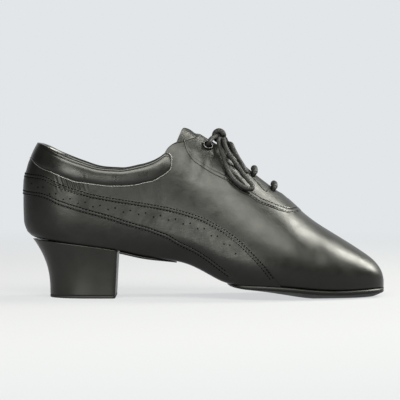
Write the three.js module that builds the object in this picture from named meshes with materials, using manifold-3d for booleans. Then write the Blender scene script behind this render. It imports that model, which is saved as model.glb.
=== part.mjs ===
// Men's Latin dance shoe, right foot, in mm: +X to the toe, +Y to the inner side, +Z up.
// The origin is the centre of the heel's bottom face.
import * as THREE from "three";
import { mergeVertices } from "three/addons/utils/BufferGeometryUtils.js";
import Module from "manifold-3d";

// Driving sizes of the last
const LENGTH = 282;
const BALL_WIDTH = 96;
const HEEL_WIDTH = 62;
const INSTEP_HEIGHT = 98;
const HEEL_LIFT = 39.5; // rise of the heel seat's back over the top of the forefoot sole
const BACK_REACH = 46.9; // from the middle of the heel's base to the back of the heel cup
const COLLAR_BACK_HEIGHT = 74; // over the heel seat
const CONE_TOP = 142;

// Walls, layers and clearances
const WALL = 2;
const GAP = 0.3;
const OVERLAY = 0.8;
const COLLAR_PAD = 5.4;
const TONGUE_THICKNESS = 2.4;
const INSOLE_THICKNESS = 3;
const LASTING_MARGIN = 7;

// Soles and heel
const SOLE_TOP = 7;
const SOLE_EDGE = 3.4;
const SOLE_DEPTH = 7;
const SOLE_CORNER = 12;
const WAIST_SOLE = 1.5;
const HEEL_BASE_LENGTH = 52;
const HEEL_BASE_WIDTH = 47;
const HEEL_FLARE = 2.6; // power of the hollow curve of the heel's back
const HEEL_BREAST_LEAN = 1.7;
const TOP_PIECE = 2;
const EDGE_STEP = 0.6; // of the heel and the soles beyond the feather line

// Throat and lace
const THROAT_WIDTH = 15;
const SLIT_WIDTH = 0.9;
const LACE = 3.5;
const LACE_HOLE = 4.9;
const EYELET_WIDTH = 8.8;
const EYELET_BORE = 5;
const EYELET_BARREL = 0.5;
const EYELET_FLANGE = 0.9;

const BACK = -BACK_REACH;
const TOE = BACK + LENGTH;
const HEEL_CENTRE = BACK + 0.166 * LENGTH; // where the round back of the heel meets its sides

// Rows of numbers under named columns
function tableOf(columns, rows) {
  return rows.map((row) => Object.fromEntries(columns.map((column, i) => [column, row[i]])));
}

// Sections of the last from back to toe. at: share of LENGTH. lift: of HEEL_LIFT. height: of INSTEP_HEIGHT.
// outer, inner: half widths, of BALL_WIDTH. swing, lean: sideways shift of the section and of its ridge, of
// BALL_WIDTH. tuck: feather line over half width. widest: height of the greatest width, of the section's
// height. full: roundness of the section. crown: drop of the underside's middle, of SOLE_TOP. depth: of
// SOLE_DEPTH.
const LAST = tableOf(
  ["at", "lift", "height", "outer", "inner", "swing", "lean", "tuck", "widest", "full", "crown", "depth"],
  [
    [0.0, 1.0, 1.27, 0.323, 0.323, 0, 0, 0.88, 0.2, 2.6, 0, 0],
    [0.166, 0.866, 1.32, 0.323, 0.323, 0, 0, 0.88, 0.2, 2.6, 0, 0],
    [0.266, 0.762, 1.3, 0.328, 0.32, 0, 0, 0.86, 0.2, 2.5, 0.02, 0],
    [0.335, 0.648, 1.235, 0.336, 0.312, 0, 0.005, 0.8, 0.2, 2.35, 0.1, 0],
    [0.4, 0.592, 1.16, 0.352, 0.31, 0, 0.015, 0.76, 0.2, 2.2, 0.14, 0],
    [0.448, 0.531, 1.106, 0.37, 0.315, 0, 0.025, 0.75, 0.2, 2.0, 0.16, 0],
    [0.496, 0.382, 1.08, 0.4, 0.332, 0, 0.035, 0.78, 0.2, 1.9, 0.2, 0.2],
    [0.53, 0.25, 1.074, 0.425, 0.3545, 0, 0.04, 0.815, 0.2, 1.86, 0.24, 0.27],
    [0.565, 0.142, 1.056, 0.45, 0.377, 0, 0.045, 0.85, 0.2, 1.82, 0.28, 0.34],
    [0.589, 0.128, 1.004, 0.4686, 0.3934, 0, 0.0476, 0.8659, 0.2, 1.8094, 0.3012, 0.4884],
    [0.61, 0.118, 0.948, 0.485, 0.408, 0, 0.05, 0.88, 0.2, 1.8, 0.32, 0.62],
    [0.656, 0.112, 0.84, 0.505, 0.437, 0, 0.05, 0.9, 0.2, 1.8, 0.34, 0.8],
    [0.698, 0.094, 0.756, 0.51, 0.46, 0, 0.045, 0.91, 0.2, 1.8, 0.34, 0.95],
    [0.734, 0.076, 0.679, 0.503, 0.474, 0, 0.04, 0.92, 0.21, 1.84, 0.34, 1.07],
    [0.771, 0.046, 0.592, 0.482, 0.474, 0, 0.034, 0.92, 0.22, 1.9, 0.34, 1.16],
    [0.803, 0.021, 0.528, 0.455, 0.46, 0, 0.028, 0.92, 0.24, 1.95, 0.34, 1.14],
    [0.851, 0.0, 0.449, 0.425, 0.43, 0.003, 0.02, 0.92, 0.28, 2.05, 0.32, 1.05],
    [0.9, -0.006, 0.365, 0.355, 0.368, 0.007, 0.012, 0.92, 0.32, 2.1, 0.3, 0.96],
    [0.932, 0.0, 0.304, 0.302, 0.316, 0.01, 0.008, 0.91, 0.36, 2.15, 0.26, 0.99],
    [0.961, 0.006, 0.243, 0.24, 0.25, 0.013, 0.004, 0.9, 0.4, 2.2, 0.2, 0.95],
    [0.982, 0.012, 0.18, 0.174, 0.18, 0.015, 0, 0.89, 0.42, 2.2, 0.12, 0.75],
    [0.994, 0.015, 0.12, 0.105, 0.108, 0.016, 0, 0.88, 0.44, 2.2, 0.05, 0.6],
    [1.0, 0.018, 0.055, 0, 0, 0.016, 0, 0.88, 0.45, 2.2, 0, 0.55],
  ],
);

// The back seam of the heel cup. up: of COLLAR_BACK_HEIGHT over the seat. in: of HEEL_WIDTH, forward of
// BACK.
const BACK_SEAM = tableOf(["up", "in"], [
  [-0.3, 0.2], [0.0, 0.132], [0.054, 0.056], [0.18, 0.006], [0.39, 0.0], [0.57, 0.006], [0.77, 0.056],
  [0.87, 0.106], [0.96, 0.158], [1.08, 0.234], [1.35, 0.43],
]);

// Lines drawn on the last in side view. at: share of LENGTH. up: share of the section's height, from feather
// to ridge.
const TOPLINE = tableOf(["at", "up"], [
  [-0.04, 0.625], [0.046, 0.598], [0.101, 0.545], [0.157, 0.506], [0.212, 0.485], [0.268, 0.502],
  [0.323, 0.572], [0.356, 0.626], [0.378, 0.674], [0.39, 0.705], [0.4, 0.754], [0.412, 0.795],
  [0.423, 0.822], [0.445, 0.862], [0.478, 0.94], [0.497, 1.0],
]);
const COLLAR_SEAM = tableOf(["at", "up"], [
  [-0.04, 0.52], [0.023, 0.505], [0.04, 0.471], [0.06, 0.444], [0.083, 0.4275], [0.108, 0.407],
  [0.134, 0.39], [0.155, 0.38], [0.184, 0.38], [0.229, 0.383], [0.273, 0.403], [0.308, 0.436],
  [0.334, 0.472], [0.362, 0.509], [0.384, 0.556], [0.402, 0.604], [0.41, 0.636], [0.413, 0.666],
]);
// The rounded front end of the padded collar, from the topline down to the end of its seam
const COLLAR_FRONT = tableOf(["at", "up"], [
  [0.387, 0.699], [0.396, 0.72], [0.404, 0.721], [0.41, 0.696], [0.4135, 0.667],
]);
const WING_TOP = tableOf(["at", "up"], [
  [-0.04, 0.41], [0.061, 0.382], [0.096, 0.347], [0.168, 0.316], [0.237, 0.301], [0.309, 0.31],
  [0.362, 0.329], [0.4145, 0.333], [0.467, 0.342], [0.517, 0.377], [0.55, 0.371], [0.589, 0.336],
  [0.62, 0.279], [0.652, 0.179], [0.683, 0.069], [0.703, 0.02], [0.71, 0],
]);
const WING_FOOT = tableOf(["at", "up"], [
  [-0.04, 0.28], [0.068, 0.265], [0.096, 0.249], [0.132, 0.23], [0.168, 0.2125], [0.2025, 0.207],
  [0.237, 0.193], [0.29, 0.175], [0.344, 0.19], [0.378, 0.177], [0.398, 0.163], [0.431, 0.138],
  [0.467, 0.114], [0.503, 0.111], [0.567, 0.042], [0.585, 0],
]);
const FACING_EDGE = tableOf(["at", "up"], [
  [0.4425, 0.9], [0.446, 0.855], [0.4533, 0.803], [0.478, 0.756], [0.517, 0.75], [0.567, 0.759],
  [0.596, 0.745], [0.62, 0.758], [0.65, 0.756], [0.678, 0.775], [0.703, 0.796], [0.73, 0.839],
  [0.753, 0.919], [0.77, 1.0],
]);
const SLIT = tableOf(["at", "up"], [
  [0.512, 0.975], [0.55, 0.974], [0.575, 0.972], [0.592, 0.965], [0.62, 0.945], [0.641, 0.926],
  [0.667, 0.89],
]);
const TONGUE_BACK = tableOf(["at", "up"], [
  [0.4, 0.55], [0.423, 0.8], [0.436, 0.9], [0.447, 0.985], [0.452, 1.05],
]);
const TONGUE_FOOT = tableOf(["at", "up"], [
  [0.745, 1.05], [0.735, 0.72], [0.6, 0.62], [0.48, 0.55],
]);

// Lace rows from the top. at: share of LENGTH. aside: of THROAT_WIDTH, from the ridge line.
const LACE_ROWS = [
  { at: 0.573, aside: 0.9 },
  { at: 0.635, aside: 0.9 },
  { at: 0.69, aside: 0.9 },
];
const EYELET_ROW = { at: 0.509, up: 0.925 };

const wasm = await Module();
wasm.setup();

// Plain interpolation of a table's column, smooth and without overshoot
function curveOf(rows, key, column) {
  const xs = rows.map((row) => row[key]);
  const ys = rows.map((row) => row[column]);
  const slopes = xs.slice(1).map((x, i) => (ys[i + 1] - ys[i]) / (x - xs[i]));
  const tangent = (i) => {
    if (i === 0) return slopes[0];
    if (i === slopes.length) return slopes[i - 1];
    const [a, b] = [slopes[i - 1], slopes[i]];
    return a * b <= 0 ? 0 : (2 * a * b) / (a + b);
  };
  const tangents = xs.map((_, i) => tangent(i));
  return (x) => {
    const held = THREE.MathUtils.clamp(x, xs[0], xs[xs.length - 1]);
    const after = xs.findIndex((v) => v > held);
    const i = after < 0 ? xs.length - 2 : after - 1;
    const span = xs[i + 1] - xs[i];
    const t = (held - xs[i]) / span;
    const a = (1 + 2 * t) * (1 - t) ** 2 * ys[i] + t * (1 - t) ** 2 * span * tangents[i];
    return a + t * t * (3 - 2 * t) * ys[i + 1] - t * t * (1 - t) * span * tangents[i + 1];
  };
}

const last = Object.fromEntries(
  Object.keys(LAST[0]).map((column) => [column, curveOf(LAST, "at", column)]),
);
const backSeam = curveOf(BACK_SEAM, "up", "in");
const SEAT_BACK = SOLE_TOP + HEEL_LIFT;

// The section of the last at x, its walls pulled in by inset (or out, where it is negative)
function sectionAt(x, inset = 0) {
  const tip = TOE - inset;
  const reach = x > HEEL_CENTRE ? (TOE - HEEL_CENTRE) / (tip - HEEL_CENTRE) : 1;
  const at = (HEEL_CENTRE + (x - HEEL_CENTRE) * reach - BACK) / LENGTH;
  const heelWard = 1 - THREE.MathUtils.smoothstep(at, 0.2, 0.45);
  const breadth = THREE.MathUtils.lerp(BALL_WIDTH, HEEL_WIDTH / 0.646, heelWard);
  const pulled = (half) => half * (1 - inset / Math.max(half, 0.25 * HEEL_WIDTH));
  const floor = SOLE_TOP + HEEL_LIFT * last.lift(at);
  const height = INSTEP_HEIGHT * last.height(at);
  const ridge = floor + height - inset * Math.min(1.25, height / (8 * WALL));
  const feather = floor + inset * Math.min(1, height / (8 * WALL));
  return {
    feather,
    ridge,
    widest: floor + last.widest(at) * height,
    outer: pulled(last.outer(at) * breadth),
    inner: pulled(last.inner(at) * breadth),
    middle: last.swing(at) * BALL_WIDTH,
    lean: last.lean(at) * BALL_WIDTH,
    tuck: last.tuck(at),
    full: last.full(at),
    crown: last.crown(at) * SOLE_TOP,
    depth: last.depth(at) * SOLE_DEPTH,
  };
}

// The half width of a section at height z, as a share of its greatest
function flank(section, z) {
  if (z < section.widest) {
    const down = Math.min(1, (section.widest - z) / (section.widest - section.feather));
    return 1 - (1 - section.tuck) * down * down;
  }
  const up = Math.min(1, (z - section.widest) / (section.ridge - section.widest));
  return Math.max(0, 1 - up ** section.full) ** (1 / section.full);
}

// A point of the skin on one side (-1 outer, 1 inner) at x and height z, and likewise round the back of the
// heel
const PLAN_FULL = 2.2;
function skin(side, x, z, inset = 0) {
  const section = sectionAt(x, inset);
  const up = (z - section.widest) / (section.ridge - section.widest);
  const leaned = section.middle + section.lean * THREE.MathUtils.clamp(up, 0, 1) ** 2;
  const half = side < 0 ? section.outer : section.inner;
  return new THREE.Vector3(x, leaned + side * half * flank(section, z), z);
}
function backAt(z, inset = 0) {
  return BACK + HEEL_WIDTH * backSeam((z - SEAT_BACK) / COLLAR_BACK_HEIGHT) + inset;
}
function heelSkin(side, turn, z, inset = 0) {
  const along = Math.cos(turn) ** (2 / PLAN_FULL);
  const section = sectionAt(HEEL_CENTRE - (HEEL_CENTRE - BACK) * along, inset);
  const half = side < 0 ? section.outer : section.inner;
  const across = Math.sin(turn) ** (2 / PLAN_FULL);
  return new THREE.Vector3(
    HEEL_CENTRE - (HEEL_CENTRE - backAt(z, inset)) * along,
    side * half * flank(section, z) * across,
    z,
  );
}

// A closed solid from a list of vertices and triangles; vertices that coincide become one
function solidOf(vertices, triangles) {
  const loose = new THREE.BufferGeometry();
  const numbers = vertices.flatMap((v) => [v.x, v.y, v.z]);
  loose.setAttribute("position", new THREE.Float32BufferAttribute(numbers, 3));
  loose.setIndex(triangles.flat());
  return solidFrom(loose);
}
function solidFrom(geometry) {
  const bare = geometry.clone();
  bare.deleteAttribute("normal");
  bare.deleteAttribute("uv");
  const merged = mergeVertices(bare, 1e-3);
  const index = [];
  const source = merged.index.array;
  for (let i = 0; i < source.length; i += 3) {
    const [a, b, c] = source.slice(i, i + 3);
    if (a !== b && b !== c && c !== a) index.push(a, b, c);
  }
  const made = new wasm.Manifold(
    new wasm.Mesh({
      numProp: 3,
      vertProperties: merged.attributes.position.array,
      triVerts: new Uint32Array(index),
    }),
  );
  return made;
}

// Rings of equal count joined into one closed solid; each end is closed by strips across its ring
function loft(rings) {
  const count = rings[0].length;
  const vertices = rings.flat();
  const triangles = [];
  const quad = (a, b, c, d) => triangles.push([a, b, c], [a, c, d]);
  for (let r = 0; r + 1 < rings.length; r++) {
    for (let i = 0; i < count; i++) {
      const next = (i + 1) % count;
      quad(r * count + i, r * count + next, (r + 1) * count + next, (r + 1) * count + i);
    }
  }
  const cap = (start, flip) => {
    for (let i = 0; i < count / 2 - 1; i++) {
      const [a, b, c, d] = [i, i + 1, count - 2 - i, count - 1 - i].map((k) => start + k);
      if (flip) {
        quad(a, d, c, b);
      } else {
        quad(a, b, c, d);
      }
    }
  };
  cap(0, true);
  cap((rings.length - 1) * count, false);
  const made = solidOf(vertices, triangles);
  if (made.volume() > 0) return made;
  return solidOf(vertices, triangles.map(([a, b, c]) => [a, c, b]));
}

const range = (count) => Array.from({ length: count + 1 }, (_, i) => i / count);
const point = (x, y, z) => new THREE.Vector3(x, y, z);

// One side of a section from its feather line to its ridge, as heights; rear sections stop at the top of the
// cone
const FLANK_STEPS = 7;
function flankHeights(section) {
  const low = [0, 0.16, 0.5].map((t) => section.feather + t * (section.widest - section.feather));
  const rise = section.ridge - section.widest;
  const top = Math.min(1, (CONE_TOP - section.widest) / rise);
  const sweep = Math.asin(top ** (section.full / 2));
  const rises = range(FLANK_STEPS).map((t) => rise * Math.sin(sweep * t) ** (2 / section.full));
  const high = rises.map((up) => section.widest + up);
  return [...low, ...high];
}
const HEEL_TURNS = range(6).map((t) => (t * Math.PI) / 2);
const STATIONS = range(22).slice(1).map((t) => Math.sin((t * Math.PI) / 2));

// The underside's height at x, v from -1 (outer feather line) to 1 (inner)
function underside(section, v) {
  return section.feather - section.crown * (1 - v * v);
}

// The whole last as a solid, its walls pulled in by inset
function lastBody(inset) {
  const ring = (section, place) => {
    const heights = flankHeights(section);
    const outer = heights.map((z) => place(-1, z));
    const inner = heights.map((z) => place(1, z)).reverse();
    const [from, to] = [inner[inner.length - 1], outer[0]];
    const bottom = [0.5, 0, -0.5].map((v) => {
      const p = from.clone().lerp(to, (1 - v) / 2);
      return p.setZ(underside(section, v));
    });
    const whole = [...outer, ...inner, ...bottom];
    return [...whole.slice(-2), ...whole.slice(0, -2)];
  };
  const rear = HEEL_TURNS.map((turn) => {
    const along = Math.cos(turn) ** (2 / PLAN_FULL);
    const section = sectionAt(HEEL_CENTRE - (HEEL_CENTRE - BACK) * along, inset);
    return ring(section, (side, z) => heelSkin(side, turn, z, inset));
  });
  const tip = TOE - inset;
  const front = STATIONS.map((share) => {
    const x = HEEL_CENTRE + share * (tip - HEEL_CENTRE);
    return ring(sectionAt(x, inset), (side, z) => skin(side, x, z, inset));
  });
  return loft([...rear, ...front]);
}

// A solid whose outline is given in side view, right through the shoe
function sideBlock(outline) {
  const shape = new THREE.Shape(outline.map(([x, z]) => new THREE.Vector2(x, z)));
  const geometry = new THREE.ExtrudeGeometry(shape, { depth: 2 * BALL_WIDTH, bevelEnabled: false });
  geometry.rotateX(Math.PI / 2).translate(0, BALL_WIDTH, 0);
  return solidFrom(geometry);
}
// A solid whose outline is given in plan, from one height to another
function planBlock(outline, from, to) {
  const shape = new THREE.Shape(outline.map(([x, y]) => new THREE.Vector2(x, y)));
  const geometry = new THREE.ExtrudeGeometry(shape, { depth: to - from, bevelEnabled: false });
  geometry.translate(0, 0, from);
  return solidFrom(geometry);
}
const xOf = (at) => BACK + at * LENGTH;
function sidePoint({ at, up }) {
  const section = sectionAt(xOf(at));
  return [xOf(at), section.feather + up * (section.ridge - section.feather)];
}
// A table's line in side view, in steps
function sideLine(rows, steps, from = rows[0].at, to = rows[rows.length - 1].at) {
  const up = curveOf(rows, "at", "up");
  return range(steps).map((t) => {
    const at = from + t * (to - from);
    return sidePoint({ at, up: up(at) });
  });
}

const FAR = 40;
const lasted = lastBody(0);
const cavity = lastBody(WALL);

// What lies over the topline, from behind the heel to the throat
function overTopline() {
  const line = sideLine(TOPLINE, 26);
  const [endX] = line[line.length - 1];
  return sideBlock([...line, [endX + WALL, CONE_TOP + FAR], [BACK - FAR, CONE_TOP + FAR]]);
}

// The throat: a slot along the ridge with a round front end
const THROAT_FRONT = 0.715;
function throatBlock(spare) {
  const half = THROAT_WIDTH / 2 + spare;
  const ridgeY = (x) => {
    const section = sectionAt(x);
    return section.middle + section.lean;
  };
  const from = xOf(0.4);
  const to = xOf(THROAT_FRONT) + spare;
  const round = to - half;
  const side = (sign) => range(6).map((t) => {
    const x = from + t * (round - from);
    return [x, ridgeY(x) + sign * half];
  });
  const end = range(6).slice(1, -1).map((t) => {
    const a = -Math.PI / 2 + t * Math.PI;
    return [round + half * Math.cos(a), ridgeY(round) + half * Math.sin(a)];
  });
  return planBlock([...side(-1), ...end, ...side(1).reverse()], 0.5 * INSTEP_HEIGHT, CONE_TOP + FAR);
}

// Openings underneath: the feather line less the lasting margin, between two stations
function underOpening(from, to) {
  const xs = range(12).map((t) => from + t * (to - from));
  const half = (x, side) => {
    const section = sectionAt(Math.min(x, TOE - LASTING_MARGIN));
    const wide = (side < 0 ? section.outer : section.inner) * section.tuck - LASTING_MARGIN;
    return section.middle + side * Math.max(wide, 1);
  };
  const outline = [...xs.map((x) => [x, half(x, -1)]), ...xs.reverse().map((x) => [x, half(x, 1)])];
  return outline;
}
function underCut(from, to, low, high) {
  return planBlock(underOpening(from, to), low, high);
}

const FOREFOOT_START = 0.564; // back end of the forefoot sole, share of LENGTH
const BREAST_SETBACK = 0.4; // of the heel's breast at its foot, from the end of its base
const HEEL_BREAST = HEEL_BASE_LENGTH / 2 - BREAST_SETBACK + HEEL_BREAST_LEAN; // at the heel's top
const WAIST_SOLE_START = 1.7; // in front of the heel's breast

function makeUpper() {
  const heelFrom = BACK + 0.045 * LENGTH;
  const heelTo = HEEL_BREAST - LASTING_MARGIN;
  const foreFrom = xOf(FOREFOOT_START) + LASTING_MARGIN;
  const forward = (x) => 2 * GAP * THREE.MathUtils.smoothstep(x, 0, xOf(0.4));
  const seam = sideLine(COLLAR_SEAM, 40).map(([x, z]) => [x + forward(x), z - GAP]);
  const collarFront = COLLAR_FRONT.slice(1, -1).map(sidePoint).reverse();
  const front = collarFront.map(([x, z]) => [x + 2 * GAP, z + GAP]);
  const overSeam = sideBlock([
    ...seam,
    ...front,
    [xOf(COLLAR_FRONT[0].at), CONE_TOP + FAR],
    [BACK - FAR, CONE_TOP + FAR],
  ]);
  const foreTop = SOLE_TOP + 3 * WALL + SOLE_DEPTH / 2;
  return lasted
    .subtract(cavity)
    .subtract(overTopline())
    .subtract(overSeam)
    .subtract(throatBlock(0))
    .subtract(underCut(heelFrom, heelTo, 0, SEAT_BACK + 2 * WALL))
    .subtract(underCut(foreFrom, TOE - 2 * LASTING_MARGIN, -SOLE_TOP, foreTop));
}

function makeFacing() {
  const edge = FACING_EDGE.map(sidePoint);
  const ends = [[xOf(0.8), CONE_TOP + FAR], [xOf(0.43), CONE_TOP + FAR]];
  const slit = sideLine(SLIT, 12);
  const slitBand = [
    ...slit,
    ...slit.map(([x, z]) => [x + SLIT_WIDTH, z + SLIT_WIDTH]).reverse(),
  ];
  return lastBody(-GAP - OVERLAY)
    .subtract(lastBody(-GAP))
    .intersect(sideBlock([...edge, ...ends]))
    .subtract(overTopline())
    .subtract(throatBlock(0.5))
    .subtract(sideBlock(slitBand));
}

function makeTongue() {
  const outline = [...TONGUE_BACK.map(sidePoint), ...TONGUE_FOOT.map(sidePoint)];
  const top = sidePoint({ at: 0.448, up: 0.965 })[1];
  return lastBody(WALL + GAP)
    .subtract(lastBody(WALL + GAP + TONGUE_THICKNESS))
    .intersect(sideBlock(outline))
    .intersect(planBlock([[BACK, -FAR], [TOE, -FAR], [TOE, FAR], [BACK, FAR]], 0, top));
}

function makeInsole() {
  const lift = WALL + GAP + INSOLE_THICKNESS;
  const top = range(24).map((t) => {
    const x = BACK + t * LENGTH;
    return [x, sectionAt(x).feather + lift];
  });
  const inside = lastBody(WALL + 1.5 * GAP).intersect(lastBody(WALL + 0.8 * GAP));
  return inside.intersect(sideBlock([[BACK, -FAR], [TOE, -FAR], ...top.reverse()]));
}

// A sole under the last: stations along it, a half width, and the heights of its two faces
function soleLoft(xs, halfAt, topAt, footAt) {
  const across = [-1, -0.8, -0.5, 0, 0.5, 0.8, 1];
  return loft(
    xs.map((x) => {
      const section = sectionAt(x);
      const place = (v, z) => point(x, section.middle + v * halfAt(section, x, v), z);
      const top = across.map((v) => place(v, topAt(section, v)));
      const foot = across.map((v) => place(v, footAt(section, v))).reverse();
      const whole = [...top, ...foot];
      return [...whole.slice(-3), ...whole.slice(0, -3)];
    }),
  );
}
const featherHalf = (section, v) => (v < 0 ? section.outer : section.inner) * section.tuck + EDGE_STEP;
// The soles and the heel reach up into the last, and are then cut to it
const REACH_IN = 0.8;
function soleTop(section, v) {
  return Math.abs(v) === 1 ? section.feather - GAP : underside(section, v) + REACH_IN;
}
const fitted = (solid) => solid.subtract(lastBody(-GAP));

function makeForefootSole() {
  const from = xOf(FOREFOOT_START);
  const to = TOE;
  const xs = [
    0, 0.004, 0.02, 0.05, 0.1, 0.17, 0.25, 0.33, 0.41, 0.49, 0.57, 0.65, 0.72, 0.79, 0.85, 0.9, 0.94, 0.97,
    0.99, 1,
  ];
  const half = (section, x, v) => {
    const t = Math.max(0, 1 - (x - from) / SOLE_CORNER);
    return featherHalf(section, v) * Math.max(0, 1 - t ** 3) ** (1 / 3) * (x >= to ? 0 : 1);
  };
  const foot = (section, v) => {
    const edge = section.feather - Math.min(SOLE_EDGE, 0.6 * section.depth + 0.8);
    const middle = Math.max(0, section.feather - section.depth);
    const tread = Math.abs(v) <= 0.5 ? 0 : ((Math.abs(v) - 0.5) / 0.5) ** 2;
    return Math.min(middle + (edge - middle) * tread, underside(section, v) - 0.5 * WAIST_SOLE);
  };
  return fitted(soleLoft(xs.map((t) => from + t * (to - from)), half, soleTop, foot));
}

function makeWaistSole() {
  const from = HEEL_BREAST + WAIST_SOLE_START;
  const to = xOf(0.452);
  const half = (section, x, v) => {
    const t = (x - from) / (to - from);
    return featherHalf(section, v) * Math.max(0, 1 - t ** 5) ** (1 / 2);
  };
  const foot = (section, v) => underside(section, v) - GAP - WAIST_SOLE;
  const xs = [0, 0.12, 0.25, 0.38, 0.5, 0.62, 0.73, 0.82, 0.9, 0.95, 0.985, 1];
  return fitted(soleLoft(xs.map((t) => from + t * (to - from)), half, soleTop, foot));
}

// The heel: level rings, each a round back with a straight breast
const BREAST_ROUND = 2.5;
function heelRing(share, heightAt) {
  const flare = share ** HEEL_FLARE;
  const baseBack = -HEEL_BASE_LENGTH / 2;
  const seat = sectionAt(HEEL_CENTRE);
  const seatBack = backAt(SEAT_BACK) - EDGE_STEP;
  const breast = HEEL_BREAST - HEEL_BREAST_LEAN * (1 - share);
  const back = THREE.MathUtils.lerp(baseBack, seatBack, flare);
  const wide = THREE.MathUtils.lerp(HEEL_BASE_WIDTH / 2, seat.outer * seat.tuck + EDGE_STEP, flare);
  const centre = 0.15 * HEEL_BASE_LENGTH * (1 - flare);
  const half = [
    ...range(7).map((t) => {
      const turn = (t * Math.PI) / 2;
      const along = Math.cos(turn) ** (2 / PLAN_FULL);
      return [centre - (centre - back) * along, wide * Math.sin(turn) ** (2 / PLAN_FULL)];
    }),
    [breast - BREAST_ROUND, wide],
    [breast - 0.3 * BREAST_ROUND, wide - 0.3 * BREAST_ROUND],
    [breast, wide - BREAST_ROUND],
    [breast, 0],
  ];
  const ring = (side, list) => list.map(([x, y]) => point(x, side * y, heightAt(x, side * y)));
  return [...ring(-1, half), ...ring(1, half.slice(1, -1).reverse())];
}
const heelSeat = (x) => sectionAt(x).feather - 0.4 * GAP;

function makeHeel() {
  const foot = TOP_PIECE + GAP;
  const shares = [0, 0.18, 0.36, 0.52, 0.66, 0.78, 0.89, 1];
  return fitted(
    loft(shares.map((share) => heelRing(share, (x) => foot + share * (heelSeat(x) - foot)))),
  );
}
function makeTopPiece() {
  return loft([heelRing(0, () => 0), heelRing(0, () => TOP_PIECE)]);
}

// The height at which a line of the side view crosses one ring of a band, found in a few steps because the
// heel's back leans
function crossing(place, line, lowest) {
  let z = SEAT_BACK + COLLAR_BACK_HEIGHT / 2;
  for (let step = 0; step < 8; step++) {
    const { x } = place(z, 0);
    const section = sectionAt(x);
    const up = line((x - BACK) / LENGTH) * (section.ridge - section.feather);
    z = section.feather + Math.max(up, lowest);
  }
  return z;
}

// A band laid round the heel and along both sides: for each place along it, a ring of points given as
// [share of the way from its lower to its upper line, distance out from the skin]
function bandLoft(lowerRows, upperRows, reachAt, profileAt, lowest) {
  const lower = curveOf(lowerRows, "at", "up");
  const upper = curveOf(upperRows, "at", "up");
  const side = (sign) => {
    const rear = HEEL_TURNS.slice(1).reverse().map((turn) => ({ sign, turn, along: 0 }));
    const front = reachAt.map((at) => ({ sign, x: xOf(at), along: at }));
    return [...front, ...rear];
  };
  const stops = [...side(-1), { sign: -1, turn: 0, along: 0 }, ...side(1).reverse()];
  return loft(
    stops.map((stop) => {
      const place = (z, out) => {
        if (stop.x === undefined) return heelSkin(stop.sign, stop.turn, z, -out);
        return skin(stop.sign, stop.x, z, -out);
      };
      const low = crossing(place, lower, lowest);
      const high = Math.max(crossing(place, upper, 0), low + 0.5 * WALL);
      return profileAt(stop.along).map(([t, out]) => place(low + t * (high - low), out));
    }),
  );
}

const BAND_LIFT = 1.8; // of its inner face over the upper, in gaps
function makeWingBand() {
  const out = GAP + OVERLAY;
  const shares = [0, 0.33, 0.67, 1];
  const ring = [...shares.map((t) => [t, out]), ...shares.reverse().map((t) => [t, BAND_LIFT * GAP])];
  const reach = [
    0.7, 0.685, 0.665, 0.645, 0.62, 0.595, 0.57, 0.545, 0.51, 0.47, 0.43, 0.39, 0.35, 0.31, 0.27, 0.23,
    0.19,
  ];
  return bandLoft(WING_FOOT, WING_TOP, reach, () => ring, 1.5 * GAP);
}

// The padded collar: a rounded cushion between its seam and the topline, thinner at its front end
function makeCollar() {
  const end = COLLAR_FRONT[COLLAR_FRONT.length - 1].at;
  const profile = (along) => {
    const swell = Math.sqrt(THREE.MathUtils.clamp((end - along) / 0.05, 0.08, 1));
    const puff = 1.6 * swell;
    const inner = -WALL - (COLLAR_PAD - WALL) * (1 - THREE.MathUtils.smoothstep(along, 0.33, 0.375));
    return [
      [0.03, 0.1],
      [0.22, 0.8 * puff],
      [0.5, puff],
      [0.78, 0.8 * puff],
      [0.94, 0.2 * puff],
      [1.0, -0.35 * COLLAR_PAD * swell],
      [0.96, 0.9 * inner],
      [0.75, inner],
      [0.4, inner],
      [0.03, -WALL],
    ];
  };
  const top = [...TOPLINE.filter((row) => row.at < COLLAR_FRONT[0].at), ...COLLAR_FRONT];
  const reach = [0.4105, 0.4075, 0.402, 0.39, 0.37, 0.345, 0.32, 0.295, 0.27, 0.24, 0.21, 0.185];
  return bandLoft(COLLAR_SEAM, top, reach, profile, 0);
}

// A place on the skin given by the way out from it, and the direction straight out there
function outwards(side, x, z, out) {
  const near = skin(side, x, z, -out);
  const step = 0.5;
  const alongX = skin(side, x + step, z, -out).sub(skin(side, x - step, z, -out));
  const alongZ = skin(side, x, z + step, -out).sub(skin(side, x, z - step, -out));
  const normal = alongX.cross(alongZ).normalize();
  if (normal.y * side < 0) normal.negate();
  return { near, normal };
}
function holeSpot(side, { at, up, aside }) {
  const x = xOf(at);
  const section = sectionAt(x);
  if (up !== undefined) {
    return outwards(side, x, section.feather + up * (section.ridge - section.feather), GAP + OVERLAY);
  }
  const half = side < 0 ? section.outer : section.inner;
  const share = Math.max(0, 1 - ((aside * THROAT_WIDTH) / half) ** section.full) ** (1 / section.full);
  return outwards(side, x, section.widest + (section.ridge - section.widest) * share, GAP + OVERLAY);
}
function rodBetween(from, to, diameter, sides) {
  const path = new THREE.LineCurve3(from, to);
  const shape = new THREE.Shape(
    Array.from({ length: sides }, (_, i) => {
      const a = (2 * Math.PI * i) / sides;
      return new THREE.Vector2((diameter / 2) * Math.cos(a), (diameter / 2) * Math.sin(a));
    }),
  );
  return new THREE.ExtrudeGeometry(shape, { steps: 1, bevelEnabled: false, extrudePath: path });
}
function holeCutter(side, row, diameter) {
  const { near, normal } = holeSpot(side, row);
  const from = near.clone().addScaledVector(normal, 2 * WALL);
  const to = near.clone().addScaledVector(normal, -2.2 * WALL - GAP - OVERLAY);
  return solidFrom(rodBetween(from, to, diameter, 10));
}
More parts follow.
